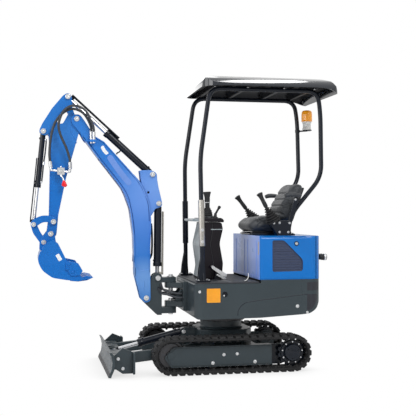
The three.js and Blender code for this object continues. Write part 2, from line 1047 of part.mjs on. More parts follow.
// ---------------------------------------------------------------- canopy
const frontPost = (s) => [at(212, s * 350, matTop + fit), at(226, s * 322, 1581), at(150, s * 306, railZ)];
const rearTube = (s) => [
  at(-690, s * 300, railZ),
  at(-716, s * 292, 1934),
  at(-726, s * 282, 1450),
  at(-505, s * 224, 1165),
  at(-480, s * 220, hoodTop + 18),
];
const canopyTube = (s, radius) => pipe([...frontPost(s), ...rearTube(s)], radius);
{
  for (const [hand, s] of sides) {
    const [foot, bend] = frontPost(s);
    const sleeve = (z) => foot.clone().lerp(bend, (z - foot.z) / (bend.z - foot.z));
    const shoe = join(
      box(160, 262, s * 350 - 45, s * 350 + 45, matTop + fit, matTop + 12),
      sideCut(
        [
          [200, matTop + 6],
          [250, matTop + 6],
          [240, 760],
          [226, 850],
          [208, 850],
        ],
        s * 350 - 8,
        s * 350 + 8,
      ),
    );
    const footPlate = box(-530, -430, s * 220 - 22, s * 220 + 22, hoodTop + fit, hoodTop + 22);
    const frame = join(
      canopyTube(s, tubeRadius),
      bar(sleeve(927), sleeve(1269), sleeveRadius, 16),
      shoe,
      footPlate,
    );
    piece(`canopy_frame_${hand}`, cut(frame, box(-900, 400, -600, 600, 0, matTop + fit)), blackPaint);
  }
  const roofProfile = (inset) => [
    [184 - inset, 2112 - 40 * (inset > 0)],
    [180 - inset, 2134, 16],
    [124, 2168 - inset, 60],
    [20, 2206 - inset, 120],
    [-120, 2232 - inset, 200],
    [-300, roofTop - inset, 160],
    [-700, roofTop - inset, 60],
    [-766 + inset, 2200, 60],
    [-796 + inset, 2140, 60],
    [-823 + inset * 1.4, 2070 - 30 * (inset > 0)],
    [-760, 2096 - 60 * (inset > 0), 20],
    [-700, 2112 - 60 * (inset > 0)],
  ];
  const roofPlan = (inset) => [
    [184 - inset, roofHalf - 30 - inset, 70],
    [-823 + inset, roofHalf - inset, 60],
    [-823 + inset, -roofHalf + inset, 60],
    [184 - inset, -roofHalf + 30 + inset, 70],
  ];
  const roofEdge = (inset) => [
    [roofHalf - inset, 2104, 20],
    [roofHalf - 8 - inset, 2136 - inset, 60],
    [roofHalf - 42 - inset, 2180 - inset, 60],
    [roofHalf - 105 - inset, 2214 - inset, 120],
    [roofHalf - 200, roofTop - inset, 160],
  ];
  const roofCrown = (inset) =>
    frontCut(
      [
        [-roofHalf + inset, 1990],
        [roofHalf - inset, 1990],
        ...roofEdge(inset),
        ...roofEdge(inset)
          .reverse()
          .map(([y, z, r]) => [-y, z, r]),
      ],
      -900,
      300,
    );
  const solidRoof = (inset) =>
    sideCut(roofProfile(inset), -500, 500)
      .intersect(planCut(roofPlan(inset), 1900, 2400))
      .intersect(roofCrown(inset));
  const shell = cut(solidRoof(0), solidRoof(roofWall));
  const ribs = [110, -140, -420, -660].map((x) =>
    box(x - 14, x + 14, -roofHalf + 20, roofHalf - 20, railZ + tubeRadius / 2, roofTop - 4),
  );
  const ribsInside = join(...ribs).intersect(solidRoof(roofWall / 2));
  const tubeRoom = sides.map(([, s]) => canopyTube(s, tubeRadius + 2 * fit));
  piece("canopy_roof", cut(join(shell, ribsInside), ...tubeRoom), blackGloss);

  const beaconAt = at(-782, -226, 0);
  const bracket = join(
    box(-812, -752, -256, -196, 1848, 1856),
    bar(at(-718, -289, 1849), at(-782, -226, 1849), 6),
  );
  piece(
    "beacon_bracket",
    cut(bracket, canopyTube(-1, tubeRadius + 2 * fit)),
    blackPaint,
  );
  piece("beacon_base", post(beaconAt.x, beaconAt.y, 30, 1856 + fit, 1925, 24), whitePlastic);
  const lens = turned(
    [
      [0, 0],
      [42, 0],
      [42, 70],
      [36, 88],
      [0, 92],
    ],
    at(beaconAt.x, beaconAt.y, 1925 + fit),
    at(beaconAt.x, beaconAt.y, 2017),
  );
  piece("beacon", lens, amber);
}

// ---------------------------------------------------------------- boom swing post
{
  const cheek = sideCut(
    [
      [postRear, 394],
      [505, 394, 10],
      [606, 492, 20],
      [630, 530, 30],
      [600, 572, 30],
      [566, 640, 20],
      [536, 704, 30],
      [500, 716, 30],
      [postRear - 2, 700, 24],
      [postRear, 640],
    ],
    -postPlateOuter,
    postPlateOuter,
  );
  const lug = ([z0, z1]) =>
    planCut(
      [
        [postRear + 14, -postPlateOuter],
        [swingX, -lugEndRadius],
        [swingX - lugEndRadius, -lugEndRadius, 39],
        [swingX - lugEndRadius, lugEndRadius, 39],
        [swingX, lugEndRadius],
        [postRear + 14, postPlateOuter],
      ],
      z0,
      z1,
    );
  const inside = postPlateInner;
  const eyeRoom = join(
    box(postRear + 16, 700, -inside, inside, 440, 800),
    box(postRear + 4, 700, -inside, inside, 612, 800),
    box(postRear - 4, 700, -inside, inside, 655, 800),
    pin(boomRamPost, 34, -inside, inside),
  );
  const swingPins = [
    [560, 700],
    [394, 520],
  ].map(([z0, z1]) => post(swingX, 0, swingPinRadius, z0, z1));
  const body = join(
    cut(join(cheek, lug(upperLug), lug(lowerLug)), eyeRoom),
    ...swingPins,
    pin(boomFoot, pinRadius, -boomHalf - 1, boomHalf + 1),
    pinHeads(boomFoot, boomHalf + 1.5),
    pinHeads(boomRamPost, postPlateOuter, 17),
  );
  piece("swing_post", body, slatePaint);
}

// ---------------------------------------------------------------- boom
{
  const body = sideCut(
    [
      [557, 530, 34],
      [562, 500, 34],
      [600, 488, 34],
      [632, 520, 34],
      [678, 703],
      [690, 1011, 60],
      [716, 1202, 120],
      [768, 1345, 200],
      [953, 1582],
      [1089, 1766],
      [1150, 1842, 30],
      [1156, 1900, 34],
      [1096, 1916, 34],
      [1056, 1862, 30],
      [985, 1752],
      [911, 1709],
      [720, 1500, 200],
      [628, 1394, 200],
      [568, 1256, 200],
      [552, 1117, 200],
      [560, 904],
      [560, 701],
    ],
    -boomHalf,
    boomHalf,
  );
  const bracket = bothSides((s) =>
    sideCut(
      [
        [640, 1496],
        [560, 1500, 30],
        [508, 1478, 30],
        [506, 1430, 20],
        [470, 1262, 30],
        [468, 1222, 26],
        [520, 1206, 20],
        [560, 1140],
        [640, 1200],
      ],
      s * bracketInner,
      s * forkInner,
    ),
  );
  const bracketRoom = join(
    pin(boomRamBracket, 40, -bracketInner, bracketInner),
    pin(armRamBracket, 44, -bracketInner, bracketInner),
  );
  const footSlot = sideCut(
    [
      [500, 400],
      [720, 400],
      [720, 700],
      [640, 730],
      [500, 730],
    ],
    -forkInner,
    forkInner,
  );
  const tipSlot = sideCut(
    [
      [1010, 1752],
      [1075, 1700],
      [1300, 1860],
      [1180, 2000],
      [1030, 1960],
    ],
    -forkInner,
    forkInner,
  );
  const boom = join(
    cut(
      join(body, bracket),
      bracketRoom,
      footSlot,
      tipSlot,
      pin(boomFoot, pinRadius + pinFit, -boomHalf - 1, boomHalf + 1),
    ),
    pin(boomRamBracket, pinRadius - 1, -forkInner, forkInner),
    pin(armRamBracket, pinRadius - 1, -forkInner, forkInner),
    pin(armPivot, pinRadius, -boomHalf, boomHalf),
    pinHeads(boomRamBracket, forkInner, 17),
    pinHeads(armRamBracket, forkInner, 17),
    pinHeads(armPivot, boomHalf),
  );
  piece("boom", boom, bluePaint);

  const lift = makeRam({
    base: boomRamBracket,
    end: boomRamPost,
    barrelRadius: 29,
    rodRadius: 15,
    gland: 481,
    stroke: 20,
    eyeRadius: 28,
    eyeHalf: postPlateInner - 1,
    basePin: pinRadius - 1,
  });
  piece("boom_ram_barrel", lift.barrel, blackPaint);
  const liftGuard = join(
    guardStrip(lift.along(60), lift.along(545), -44, 4, 24),
    guardStrip(lift.along(524), lift.along(545), -44, 44, 8),
  );
  piece("boom_ram_rod", join(lift.rod, liftGuard), chrome);
}

// ---------------------------------------------------------------- arm
{
  const upper = [
    [1100, 1830, 30],
    [1146, 1957],
    [1150, 2040, 30],
    [1176, 2074, 30],
    [1214, 2050, 30],
    [1296, 1954, 120],
    [1368, 1838, 60],
    [1392, 1780, 30],
    [1362, 1748, 30],
    [1322, 1762],
    [1311, 1578],
    [1160, 1600],
  ];
  const lower = [
    [1077, 1866, 38],
    [1090, 1910, 38],
    [1150, 1910, 38],
    [1300, 1800],
    [1311, 1578],
    [1319, 1161],
    [1336, 1024, 34],
    [1308, 980, 34],
    [1266, 1000, 36],
    [1249, 1161],
    [1193, 1433],
    [1100, 1766, 30],
  ];
  const hoseWindow = sideCut(
    [
      [1216, 1842, 16],
      [1262, 1836, 20],
      [1246, 1908, 30],
      [1190, 1946, 12],
      [1176, 1916, 12],
    ],
    -100,
    100,
  );
  const eyeRoom = join(
    sideCut(
      [
        [1120, 1962],
        [1150, 1930],
        [1300, 1880],
        [1400, 1900],
        [1300, 2100],
        [1120, 2100],
      ],
      -bracketInner,
      bracketInner,
    ),
    sideCut(
      [
        [1334, 1850],
        [1420, 1850],
        [1420, 1700],
        [1326, 1700],
      ],
      -26,
      26,
    ),
  );
  const arm = join(
    cut(
      join(sideCut(lower, -armHalf, armHalf), sideCut(upper, -armHalf, armHalf)),
      hoseWindow,
      eyeRoom,
      pin(armPivot, pinRadius + pinFit, -armHalf - 1, armHalf + 1),
      pin(bucketPivot, pinRadius + pinFit, -armHalf - 1, armHalf + 1),
    ),
    pin(bucketRamBase, 12, -armHalf, armHalf),
    pinHeads(bucketRamBase, armHalf, 16),
    pinHeads(armRamEnd, armHalf, 17),
    pin(rockerPivot, pinRadius, -armHalf - earThickness - 2, armHalf + earThickness + 2),
    pinHeads(rockerPivot, armHalf + earThickness + 2),
  );
  piece("arm", arm, bluePaint);

  const crowd = makeRam({
    base: armRamBracket,
    end: armRamEnd,
    barrelRadius: 28,
    rodRadius: 15,
    gland: 476,
    stroke: 300,
    eyeRadius: 28,
    eyeHalf: bracketInner - 1,
    basePin: pinRadius - 1,
  });
  piece("arm_ram_barrel", crowd.barrel, blackPaint);
  const crowdGuard = join(
    guardStrip(crowd.along(370), crowd.along(845), 36, 5, 26),
    guardStrip(crowd.along(815), crowd.along(845), 0, 38, 10),
  );
  piece("arm_ram_rod", join(crowd.rod, crowdGuard), chrome);

  const curl = makeRam({
    base: bucketRamBase,
    end: rockerEnd,
    barrelRadius: 20,
    rodRadius: 12,
    gland: 420,
    stroke: 165,
    eyeRadius: 24,
    eyeHalf: linkInner - runFit,
    basePin: 12,
  });
  piece("bucket_ram_barrel", curl.barrel, blackPaint);
  const curlGuard = join(
    guardStrip(curl.along(200), curl.along(682), 27, 4, 20),
    guardStrip(curl.along(660), curl.along(682), 0, 29, 8),
  );
  piece("bucket_ram_rod", join(curl.rod, curlGuard), chrome);
}

// ---------------------------------------------------------------- bucket and its linkage
{
  const earY = [armHalf + runFit, armHalf + runFit + earThickness];
  const linkY = [linkInner + runFit, armHalf - 1];

  const rockerArc = [
    [1258, 1100, 26],
    [1262, 1132, 26],
    [1300, 1150, 60],
    [1368, 1154, 80],
    [1440, 1122, 40],
    [1458, 1086, 26],
    [1430, 1060, 26],
    [1402, 1076, 30],
    [1366, 1104, 50],
    [1318, 1104, 20],
    [1300, 1080, 26],
  ];
  for (const [hand, s] of sides) {
    const plate = cut(
      sideCut(rockerArc, s * earY[0], s * earY[1]),
      pin(rockerPivot, pinRadius + pinFit, s * (earY[0] - 5), s * (earY[1] + 5)),
    );
    const head = pin(rockerEnd, 18, s * (earY[1] - 1), s * (earY[1] + headHeight));
    piece(`bucket_rocker_${hand}`, join(plate, head), bluePaint);
  }

  // A flat bar from the rocker's pin to the bucket, bowed a little to the outside.
  const linkShape = [
    [rockerEnd[0] - 20, rockerEnd[1] + 6, 18],
    [rockerEnd[0] + 6, rockerEnd[1] + 22, 18],
    [rockerEnd[0] + 22, rockerEnd[1] - 6, 18],
    [1432, 1020, 80],
    [bucketLinkPin[0] + 22, bucketLinkPin[1] - 12, 18],
    [bucketLinkPin[0] - 8, bucketLinkPin[1] - 20, 18],
    [bucketLinkPin[0] - 20, bucketLinkPin[1] + 8, 18],
    [1384, 1030, 80],
  ];
  const link = join(
    bothSides((s) => sideCut(linkShape, s * linkY[0], s * linkY[1])),
    bar(at(1408, -linkY[1] + 1, 1014), at(1408, linkY[1] - 1, 1014), 9),
  );
  piece("bucket_link", cut(link, pin(bucketLinkPin, pinRadius + pinFit - 2, -80, 80)), bluePaint);

  const outer = [
    [1258, 954],
    [1290, 950, 30],
    [1330, 914, 30],
    [1382, 902, 40],
    [1404, 830, 90],
    [1370, 756, 90],
    [1296, 700, 60],
    [1190, 682],
    [1100, 676],
    [1056, 690],
    [1090, 706],
    [1120, 762],
    [1194, 824],
  ];
  const mouth = [
    [1252, 943],
    [1284, 940, 24],
    [1326, 904, 24],
    [1372, 892, 30],
    [1393, 832, 80],
    [1360, 764, 80],
    [1290, 712, 60],
    [1188, 692],
    [1090, 687],
    [1000, 700],
    [1000, 900],
    [1180, 990],
  ];
  const sideTop = [
    [1258, 950],
    [1289, 977, 12],
    [1330, 962, 20],
    [1388, 906, 30],
    [1320, 860],
  ];
  const shell = cut(
    sideCut(outer, -bucketHalf, bucketHalf),
    sideCut(mouth, -bucketHalf + bucketWall, bucketHalf - bucketWall),
  );
  const sidePlates = bothSides((s) => sideCut(sideTop, s * (bucketHalf - bucketWall), s * bucketHalf));
  const cutters = bothSides((s) =>
    sideCut(
      [
        [1196, 826, 8],
        [1112, 806, 8],
        [1078, 748, 8],
        [1100, 716, 8],
        [1160, 712, 8],
        [1200, 770, 8],
      ],
      s * (bucketHalf - 2),
      s * (bucketHalf + 12),
    ),
  );
  const teeth = [-168, -56, 56, 168].map((y) =>
    sideCut(
      [
        [1110, 672],
        [1110, 696],
        [1040, 712, 8],
        [996, 700],
        [1050, 676],
      ],
      y - 22,
      y + 22,
    ),
  );
  const ears = bothSides((s) =>
    sideCut(
      [
        [1276, 1000, 28],
        [1282, 1044, 28],
        [1330, 1040, 28],
        [1384, 970, 28],
        [1388, 898],
        [1330, 906],
        [1266, 944],
      ],
      s * earY[0],
      s * earY[1],
    ),
  );
  const bucket = join(
    shell,
    sidePlates,
    cutters,
    ...teeth,
    ears,
    pin(bucketPivot, pinRadius, -earY[1], earY[1]),
    pinHeads(bucketPivot, earY[1]),
    pin(bucketLinkPin, pinRadius - 2, -earY[1], earY[1]),
    pinHeads(bucketLinkPin, earY[1], 18),
  );
  piece("bucket", bucket, bluePaint);
}

// ---------------------------------------------------------------- service line on the arm
{
  const valveY = 78;
  const valve = join(
    box(1206, 1258, armHalf + fit, 100, 1456, 1508),
    bar(at(1232, 88, 1470), at(1206, 96, 1398), 9, 12),
    bar(at(1210, 94, 1412), at(1190, 100, 1364), 15, 12, 18),
    bar(at(1250, valveY, 1482), at(1290, valveY, 1490), 9, 12),
    bar(at(1218, valveY, 1482), at(1180, valveY, 1476), 9, 12),
  );
  piece("service_valve", valve, zinc);

  const nearY = boomHalf + 18; // the front hose leaves its port nearest the boom
  const farY = boomHalf + 42;
  const frontHose = hose(
    [
      at(1010, nearY, 1752),
      at(1010, nearY, 1766),
      at(1016, nearY + 8, 1830),
      at(1066, nearY + 12, 1914),
      at(1142, nearY + 12, 1946),
      at(1216, nearY + 8, 1916),
      at(1276, nearY + 6, 1840),
      at(1306, nearY + 4, 1730),
      at(1316, valveY + 2, 1620),
      at(1312, valveY + 1, 1540),
      at(1304, valveY, 1492.5),
    ],
    11,
    26,
  );
  piece("service_hose_front", frontHose, rubber);
  const rearHose = hose(
    [
      at(990, farY, 1744),
      at(990, farY, 1758),
      at(1000, farY + 6, 1830),
      at(1056, farY + 10, 1934),
      at(1140, farY + 12, 1968),
      at(1214, farY + 10, 1926),
      at(1250, farY + 6, 1830),
      at(1236, farY + 2, 1750),
      at(1196, valveY + 18, 1660),
      at(1168, valveY + 8, 1570),
      at(1164, valveY, 1500),
    ],
    11,
    26,
  );
  piece("service_hose_rear", rearHose, rubber);
  const port = join(
    box(976, 1026, boomHalf + fit, boomHalf + 56, 1700, 1726),
    bar(at(1010, nearY, 1724), at(1010, nearY, 1752 - fit), 13, 12),
    bar(at(990, farY, 1724), at(990, farY, 1744 - fit), 13, 12),
  );
  piece("service_port", port, zinc);
}

const excavator = new THREE.Group();
excavator.add(machine);
export default excavator;
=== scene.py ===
"""Looks for the mini excavator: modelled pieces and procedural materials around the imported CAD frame.

Outlines, radii and bevels are written in millimetres from the slew axis and the ground, +X forward,
+Y to the machine's left, +Z up. P() turns them into metres in the row frame. An outline is a list of
corners [a, b] or [a, b, corner radius]. On a side s, 1 is the left and -1 the right.
"""

import json
import math

import bmesh
import bpy
from mathutils import Matrix, Vector


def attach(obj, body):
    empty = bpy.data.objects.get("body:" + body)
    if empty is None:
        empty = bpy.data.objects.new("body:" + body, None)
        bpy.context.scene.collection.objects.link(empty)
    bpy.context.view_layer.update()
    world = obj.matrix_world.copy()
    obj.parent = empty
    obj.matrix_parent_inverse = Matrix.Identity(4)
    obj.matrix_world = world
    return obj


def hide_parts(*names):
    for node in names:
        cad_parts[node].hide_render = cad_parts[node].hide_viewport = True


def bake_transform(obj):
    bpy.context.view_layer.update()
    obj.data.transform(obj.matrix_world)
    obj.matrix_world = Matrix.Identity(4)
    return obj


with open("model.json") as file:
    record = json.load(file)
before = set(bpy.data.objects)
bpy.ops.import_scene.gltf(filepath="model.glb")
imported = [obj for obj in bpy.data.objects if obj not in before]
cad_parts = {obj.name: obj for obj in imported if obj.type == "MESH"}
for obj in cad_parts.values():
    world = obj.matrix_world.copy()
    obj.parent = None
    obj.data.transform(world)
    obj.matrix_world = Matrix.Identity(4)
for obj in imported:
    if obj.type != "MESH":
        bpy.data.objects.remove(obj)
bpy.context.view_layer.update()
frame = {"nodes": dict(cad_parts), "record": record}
JOINTS = {joint["name"]: joint for joint in frame["record"]["behaviour"]["joints"]}
SLEW_X = JOINTS["house_slew"]["pos_m"][0]
MM = 0.001


def P(x, y, z):
    """A point in millimetres from the slew axis, in metres in the row frame."""
    return Vector((x * MM + SLEW_X, y * MM, z * MM))


def pin_at(joint):
    """A joint's pin as [x, z] in millimetres from the slew axis."""
    x, _, z = JOINTS[joint]["pos_m"]
    return [(x - SLEW_X) / MM, z / MM]


# ------------------------------------------------------------------ materials
def nodes_of(name):
    material = bpy.data.materials.new(name)
    material.use_nodes = True
    tree = material.node_tree
    return material, tree, tree.nodes["Principled BSDF"]


def link(tree, a, b):
    tree.links.new(a, b)


def put(node, socket, value):
    node.inputs[socket].default_value = value


def coordinates(tree, scale=(1, 1, 1)):
    place = tree.nodes.new("ShaderNodeTexCoord")
    mapping = tree.nodes.new("ShaderNodeMapping")
    put(mapping, "Scale", scale)
    link(tree, place.outputs["Object"], mapping.inputs["Vector"])
    return mapping.outputs["Vector"]


def noise(tree, scale, detail=3.0, rough=0.5, stretch=(1, 1, 1)):
    node = tree.nodes.new("ShaderNodeTexNoise")
    put(node, "Scale", scale)
    put(node, "Detail", detail)
    put(node, "Roughness", rough)
    link(tree, coordinates(tree, stretch), node.inputs["Vector"])
    return node.outputs["Fac"]


def ramp(tree, value, low, high, dark, light):
    node = tree.nodes.new("ShaderNodeMapRange")
    node.clamp = True
    put(node, "From Min", low)
    put(node, "From Max", high)
    put(node, "To Min", dark)
    put(node, "To Max", light)
    link(tree, value, node.inputs["Value"])
    return node.outputs["Result"]


def mix(tree, fac, a, b):
    """A colour mix; fac, a and b are sockets or plain values."""
    node = tree.nodes.new("ShaderNodeMix")
    node.data_type = "RGBA"
    for socket, value in ((node.inputs[0], fac), (node.inputs[6], a), (node.inputs[7], b)):
        if isinstance(value, bpy.types.NodeSocket):
            link(tree, value, socket)
        elif isinstance(value, tuple):
            socket.default_value = (*value, 1)
        else:
            socket.default_value = value
    return node.outputs[2]


def bump(tree, shader, height, strength, distance):
    node = tree.nodes.new("ShaderNodeBump")
    put(node, "Strength", strength)
    put(node, "Distance", distance)
    link(tree, height, node.inputs["Height"])
    link(tree, node.outputs["Normal"], shader.inputs["Normal"])


def shade(color, factor):
    return tuple(min(1.0, c * factor) for c in color)


def paint(name, color, roughness, coat, peel=0.05, patch=0.12, shine=0.3, sheen_colour=(0, 0, 0), sheen_share=0.0, pale=()):
    """Sprayed paint: clouded colour, painted sheen in broad lighter clouds, painted highlights near named places,
    orange-peel bump and uneven dust in the gloss.
    """
    material, tree, shader = nodes_of(name)
    cloud = ramp(tree, noise(tree, 4, 4), 0.3, 0.7, 0.0, 1.0)
    base = mix(tree, cloud, shade(color, 0.94), shade(color, 1.06))
    # painted sheen: broad random clouds of a lighter colour mixed in, standing in for reflected light
    if sheen_share:
        base = mix(tree, ramp(tree, noise(tree, 1.5, 2, 0.45), 0.42, 0.72, 0.0, sheen_share), base, sheen_colour)
    # painted highlights: the colour pales towards each named place, standing in for light falling there
    for spot, reach, amount, tint in pale:
        away = tree.nodes.new("ShaderNodeVectorMath")
        away.operation = "DISTANCE"
        link(tree, coordinates(tree), away.inputs[0])
        away.inputs[1].default_value = P(*spot)
        base = mix(tree, ramp(tree, away.outputs["Value"], 0.1 * reach, reach, amount, 0.0), base, tint)
    link(tree, base, shader.inputs["Base Color"])
    dust = ramp(tree, noise(tree, 6, 4, 0.55), 0.3, 0.7, roughness * (1 - patch), roughness * (1 + patch))
    link(tree, dust, shader.inputs["Roughness"])
    put(shader, "Specular IOR Level", shine)
    put(shader, "Coat Weight", coat)
    put(shader, "Coat Roughness", 0.06)
    bump(tree, shader, noise(tree, 600, 2), peel, 0.0005)
    return material


def moulded(name, color, roughness, grain=900, strength=0.25, spread=0.12, coat=0.0):
    """Moulded plastic or rubber with a fine grain and slightly uneven tone."""
    material, tree, shader = nodes_of(name)
    tone = ramp(tree, noise(tree, 18, 5), 0.3, 0.7, 0.0, 1.0)
    base = mix(tree, tone, shade(color, 1 - spread), shade(color, 1 + spread))
    link(tree, base, shader.inputs["Base Color"])
    rough = ramp(tree, noise(tree, 30, 4), 0.3, 0.7, roughness * 0.9, min(1, roughness * 1.12))
    link(tree, rough, shader.inputs["Roughness"])
    put(shader, "Specular IOR Level", 0.3)
    put(shader, "Coat Weight", coat)
    bump(tree, shader, noise(tree, grain, 2), strength, 0.0004)
    return material


def metal(name, color, roughness, brushed=(1, 1, 1), scale=220, strength=0.08, spread=0.1):
    """Bare or plated metal with fine marks along one direction."""
    material, tree, shader = nodes_of(name)
    marks = noise(tree, scale, 4, 0.6, brushed)
    tone = ramp(tree, marks, 0.3, 0.7, 0.0, 1.0)
    base = mix(tree, tone, shade(color, 1 - spread), shade(color, 1 + spread / 2))
    link(tree, base, shader.inputs["Base Color"])
    put(shader, "Metallic", 1.0)
    rough = ramp(tree, marks, 0.3, 0.7, roughness * 0.75, roughness * 1.3)
    link(tree, rough, shader.inputs["Roughness"])
    bump(tree, shader, marks, strength, 0.0003)
    return material


def vinyl(name, color):
    """Grained seat cover: cell-like grain, soft sheen and scuffed tone."""
    material, tree, shader = nodes_of(name)
    cells = tree.nodes.new("ShaderNodeTexVoronoi")
    cells.feature = "DISTANCE_TO_EDGE"
    put(cells, "Scale", 420)
    link(tree, coordinates(tree), cells.inputs["Vector"])
    grain = ramp(tree, cells.outputs["Distance"], 0.0, 0.12, 0.0, 1.0)
    scuff = ramp(tree, noise(tree, 9, 5, 0.6), 0.35, 0.7, 0.0, 1.0)
    base = mix(tree, scuff, shade(color, 0.85), shade(color, 1.25))
    base = mix(tree, ramp(tree, grain, 0, 1, 0.35, 0.0), base, shade(color, 0.55))
    link(tree, base, shader.inputs["Base Color"])
    link(tree, ramp(tree, scuff, 0, 1, 0.5, 0.62), shader.inputs["Roughness"])
    put(shader, "Sheen Weight", 0.15)
    bump(tree, shader, grain, 0.25, 0.0005)
    return material


def grille(name, color):
    """Perforated sheet: rows of round holes painted darker than the sheet, as painted shade seen through them."""
    material, tree, shader = nodes_of(name)
    cells = tree.nodes.new("ShaderNodeTexVoronoi")
    put(cells, "Scale", 170)
    put(cells, "Randomness", 0.0)
    link(tree, coordinates(tree), cells.inputs["Vector"])
    hole = ramp(tree, cells.outputs["Distance"], 0.3, 0.42, 1.0, 0.0)
    link(tree, mix(tree, hole, color, shade(color, 0.25)), shader.inputs["Base Color"])
    put(shader, "Roughness", 0.5)
    bump(tree, shader, ramp(tree, hole, 0, 1, 1, 0), 0.5, 0.001)
    return material


def lens(name, color):
    """Moulded lamp lens with fine upright ribs and a faint painted glow from emission."""
    material, tree, shader = nodes_of(name)
    tone = ramp(tree, noise(tree, 40, 3), 0.3, 0.7, 0.0, 1.0)
    link(tree, mix(tree, tone, shade(color, 0.85), color), shader.inputs["Base Color"])
    put(shader, "Roughness", 0.12)
    put(shader, "Transmission Weight", 0.1)
    # painted glow: the lens gives off light though the lamp is off
    put(shader, "Emission Color", (*color, 1))
    put(shader, "Emission Strength", 0.18)
    put(shader, "Coat Weight", 0.5)
    bump(tree, shader, noise(tree, 160, 1, 0.5, (1, 1, 0.02)), 0.3, 0.001)
    return material


# BLUE, BOOM_BLUE, HOOD_BLUE and the hood front paint carry a painted sheen of lighter clouds
BLUE = paint("blue_paint", (0.002, 0.137, 0.5), 0.26, 0.25, shine=0.25, sheen_colour=(0.04, 0.21, 0.6), sheen_share=0.6)
# The boom paint has painted highlights: paler patches at the ram bracket, along the middle and at the foot.
BOOM_BLUE = paint("boom_paint", (0.003, 0.14, 0.53), 0.26, 0.25, shine=0.25, sheen_colour=(0.05, 0.23, 0.64), sheen_share=0.5, pale=[
    ((520, 0, 1360), 0.27, 0.75, (0.22, 0.39, 0.78)), ((640, 0, 1230), 0.46, 0.65, (0.14, 0.3, 0.76)),
    ((610, 0, 700), 0.16, 0.7, (0.26, 0.46, 0.8)), ((585, 0, 590), 0.16, 0.6, (0.18, 0.38, 0.74))])
HOOD_BLUE = paint("hood_paint", (0.002, 0.152, 0.52), 0.22, 0.3, shine=0.25, sheen_colour=(0.006, 0.19, 0.62), sheen_share=0.4)
# The paler hood front paint is a painted reflection: the front face drawn lighter than the sides.
HOOD_FRONT_SHEEN = paint("hood_front_painted_sheen", (0.24, 0.4, 0.95), 0.3, 0.3, shine=0.25, sheen_colour=(0.4, 0.54, 1.0), sheen_share=0.6)
# A darker blue for the painted shade lines in the boom's creases.
SEAM_SHADE = paint("blue_seam_shade", (0.002, 0.05, 0.24), 0.4, 0.1, shine=0.2)
ROOF = paint("roof_gloss", (0.006, 0.009, 0.015), 0.12, 0.7, peel=0.015, shine=0.4)
SLATE = paint("slate_paint", (0.038, 0.052, 0.06), 0.34, 0.15, shine=0.25)
BLACK = paint("black_paint", (0.007, 0.01, 0.017), 0.24, 0.2, shine=0.2)
GLOSS = paint("black_gloss", (0.008, 0.006, 0.009), 0.14, 0.3, peel=0.02, shine=0.1)
PLASTIC = moulded("black_plastic", (0.02, 0.021, 0.023), 0.55)
RUBBER = moulded("rubber", (0.017, 0.017, 0.018), 0.72, grain=500, strength=0.4, spread=0.25)
# The deck mat is lighter than the other rubber: painted light on the deck.
MAT = moulded("deck_rubber_lit", (0.05, 0.053, 0.06), 0.5, grain=700)
HOSE = moulded("hose_rubber", (0.045, 0.05, 0.058), 0.42, grain=1200)
CHROME = metal("chrome", (0.82, 0.83, 0.85), 0.08, (1, 1, 12), strength=0.03)
ZINC = metal("zinc", (0.72, 0.73, 0.74), 0.3, spread=0.2)
IRON = metal("iron", (0.1, 0.1, 0.105), 0.5, scale=90, strength=0.3, spread=0.3)
VINYL = vinyl("seat_vinyl", (0.03, 0.034, 0.04))
GRILLE = grille("vent_grille", (0.03, 0.045, 0.1))
CORNER_REFLECTION_GRILLE = grille("corner_reflection_grille", (0.018, 0.02, 0.03))
AMBER = lens("amber", (1.0, 0.42, 0.025))
RED = moulded("red_vinyl", (0.75, 0.02, 0.03), 0.4)
WHITE = moulded("white_plastic", (0.78, 0.78, 0.75), 0.4, spread=0.05)
LABEL = moulded("blank_label", (0.8, 0.82, 0.84), 0.3, spread=0.03, coat=0.4)
UNDERSIDE = moulded("roof_underside", (0.006, 0.007, 0.01), 0.5)
CREAM = moulded("cream_label", (0.62, 0.5, 0.36), 0.4, spread=0.08)
ORANGE = moulded("orange_label", (0.9, 0.36, 0.02), 0.35, spread=0.06, coat=0.3)
GREY = moulded("grey_plastic", (0.22, 0.24, 0.26), 0.4, coat=0.2)
SLEEVE = metal("sleeve_metal", (0.5, 0.48, 0.44), 0.28, (1, 1, 0.05), scale=300)
# The pale grey gives painted light on the console: a painted highlight on the band and a painted reflection on the
# front face.
PANEL = moulded("panel_grey", (0.32, 0.37, 0.4), 0.35, coat=0.25)
LABEL_TINT = moulded("label_tint", (0.14, 0.27, 0.66), 0.3, spread=0.05, coat=0.3)


# ------------------------------------------------------------------ shapes
SIDE = (Vector((1, 0, 0)), Vector((0, 0, 1)))
PLAN = (Vector((1, 0, 0)), Vector((0, 1, 0)))
FRONT = (Vector((0, 1, 0)), Vector((0, 0, 1)))


def rounded(corners, step=0.14):
    """Corners [a, b, radius] as points, each radius drawn as an arc."""
    points = []
    for i, corner in enumerate(corners):
        here = Vector(corner[:2])
        radius = corner[2] if len(corner) > 2 else 0
        back = Vector(corners[i - 1][:2]) - here
        ahead = Vector(corners[(i + 1) % len(corners)][:2]) - here
        if radius <= 0:
            points.append(here)
            continue
        room = 0.49 * min(back.length, ahead.length)
        back.normalize()
        ahead.normalize()
        half = math.acos(max(-1, min(1, back.dot(ahead)))) / 2
        reach = min(radius / math.tan(half), room)
        r = reach * math.tan(half)
        centre = here + (back + ahead).normalized() * (r / math.sin(half))
        start = here + back * reach - centre
        end = here + ahead * reach - centre
        turn = start.angle_signed(end)
        steps = max(1, math.ceil(abs(turn) / step))
        base = math.atan2(start.y, start.x)
        for k in range(steps + 1):
            angle = base - turn * k / steps
            points.append(centre + r * Vector((math.cos(angle), math.sin(angle))))
    return points


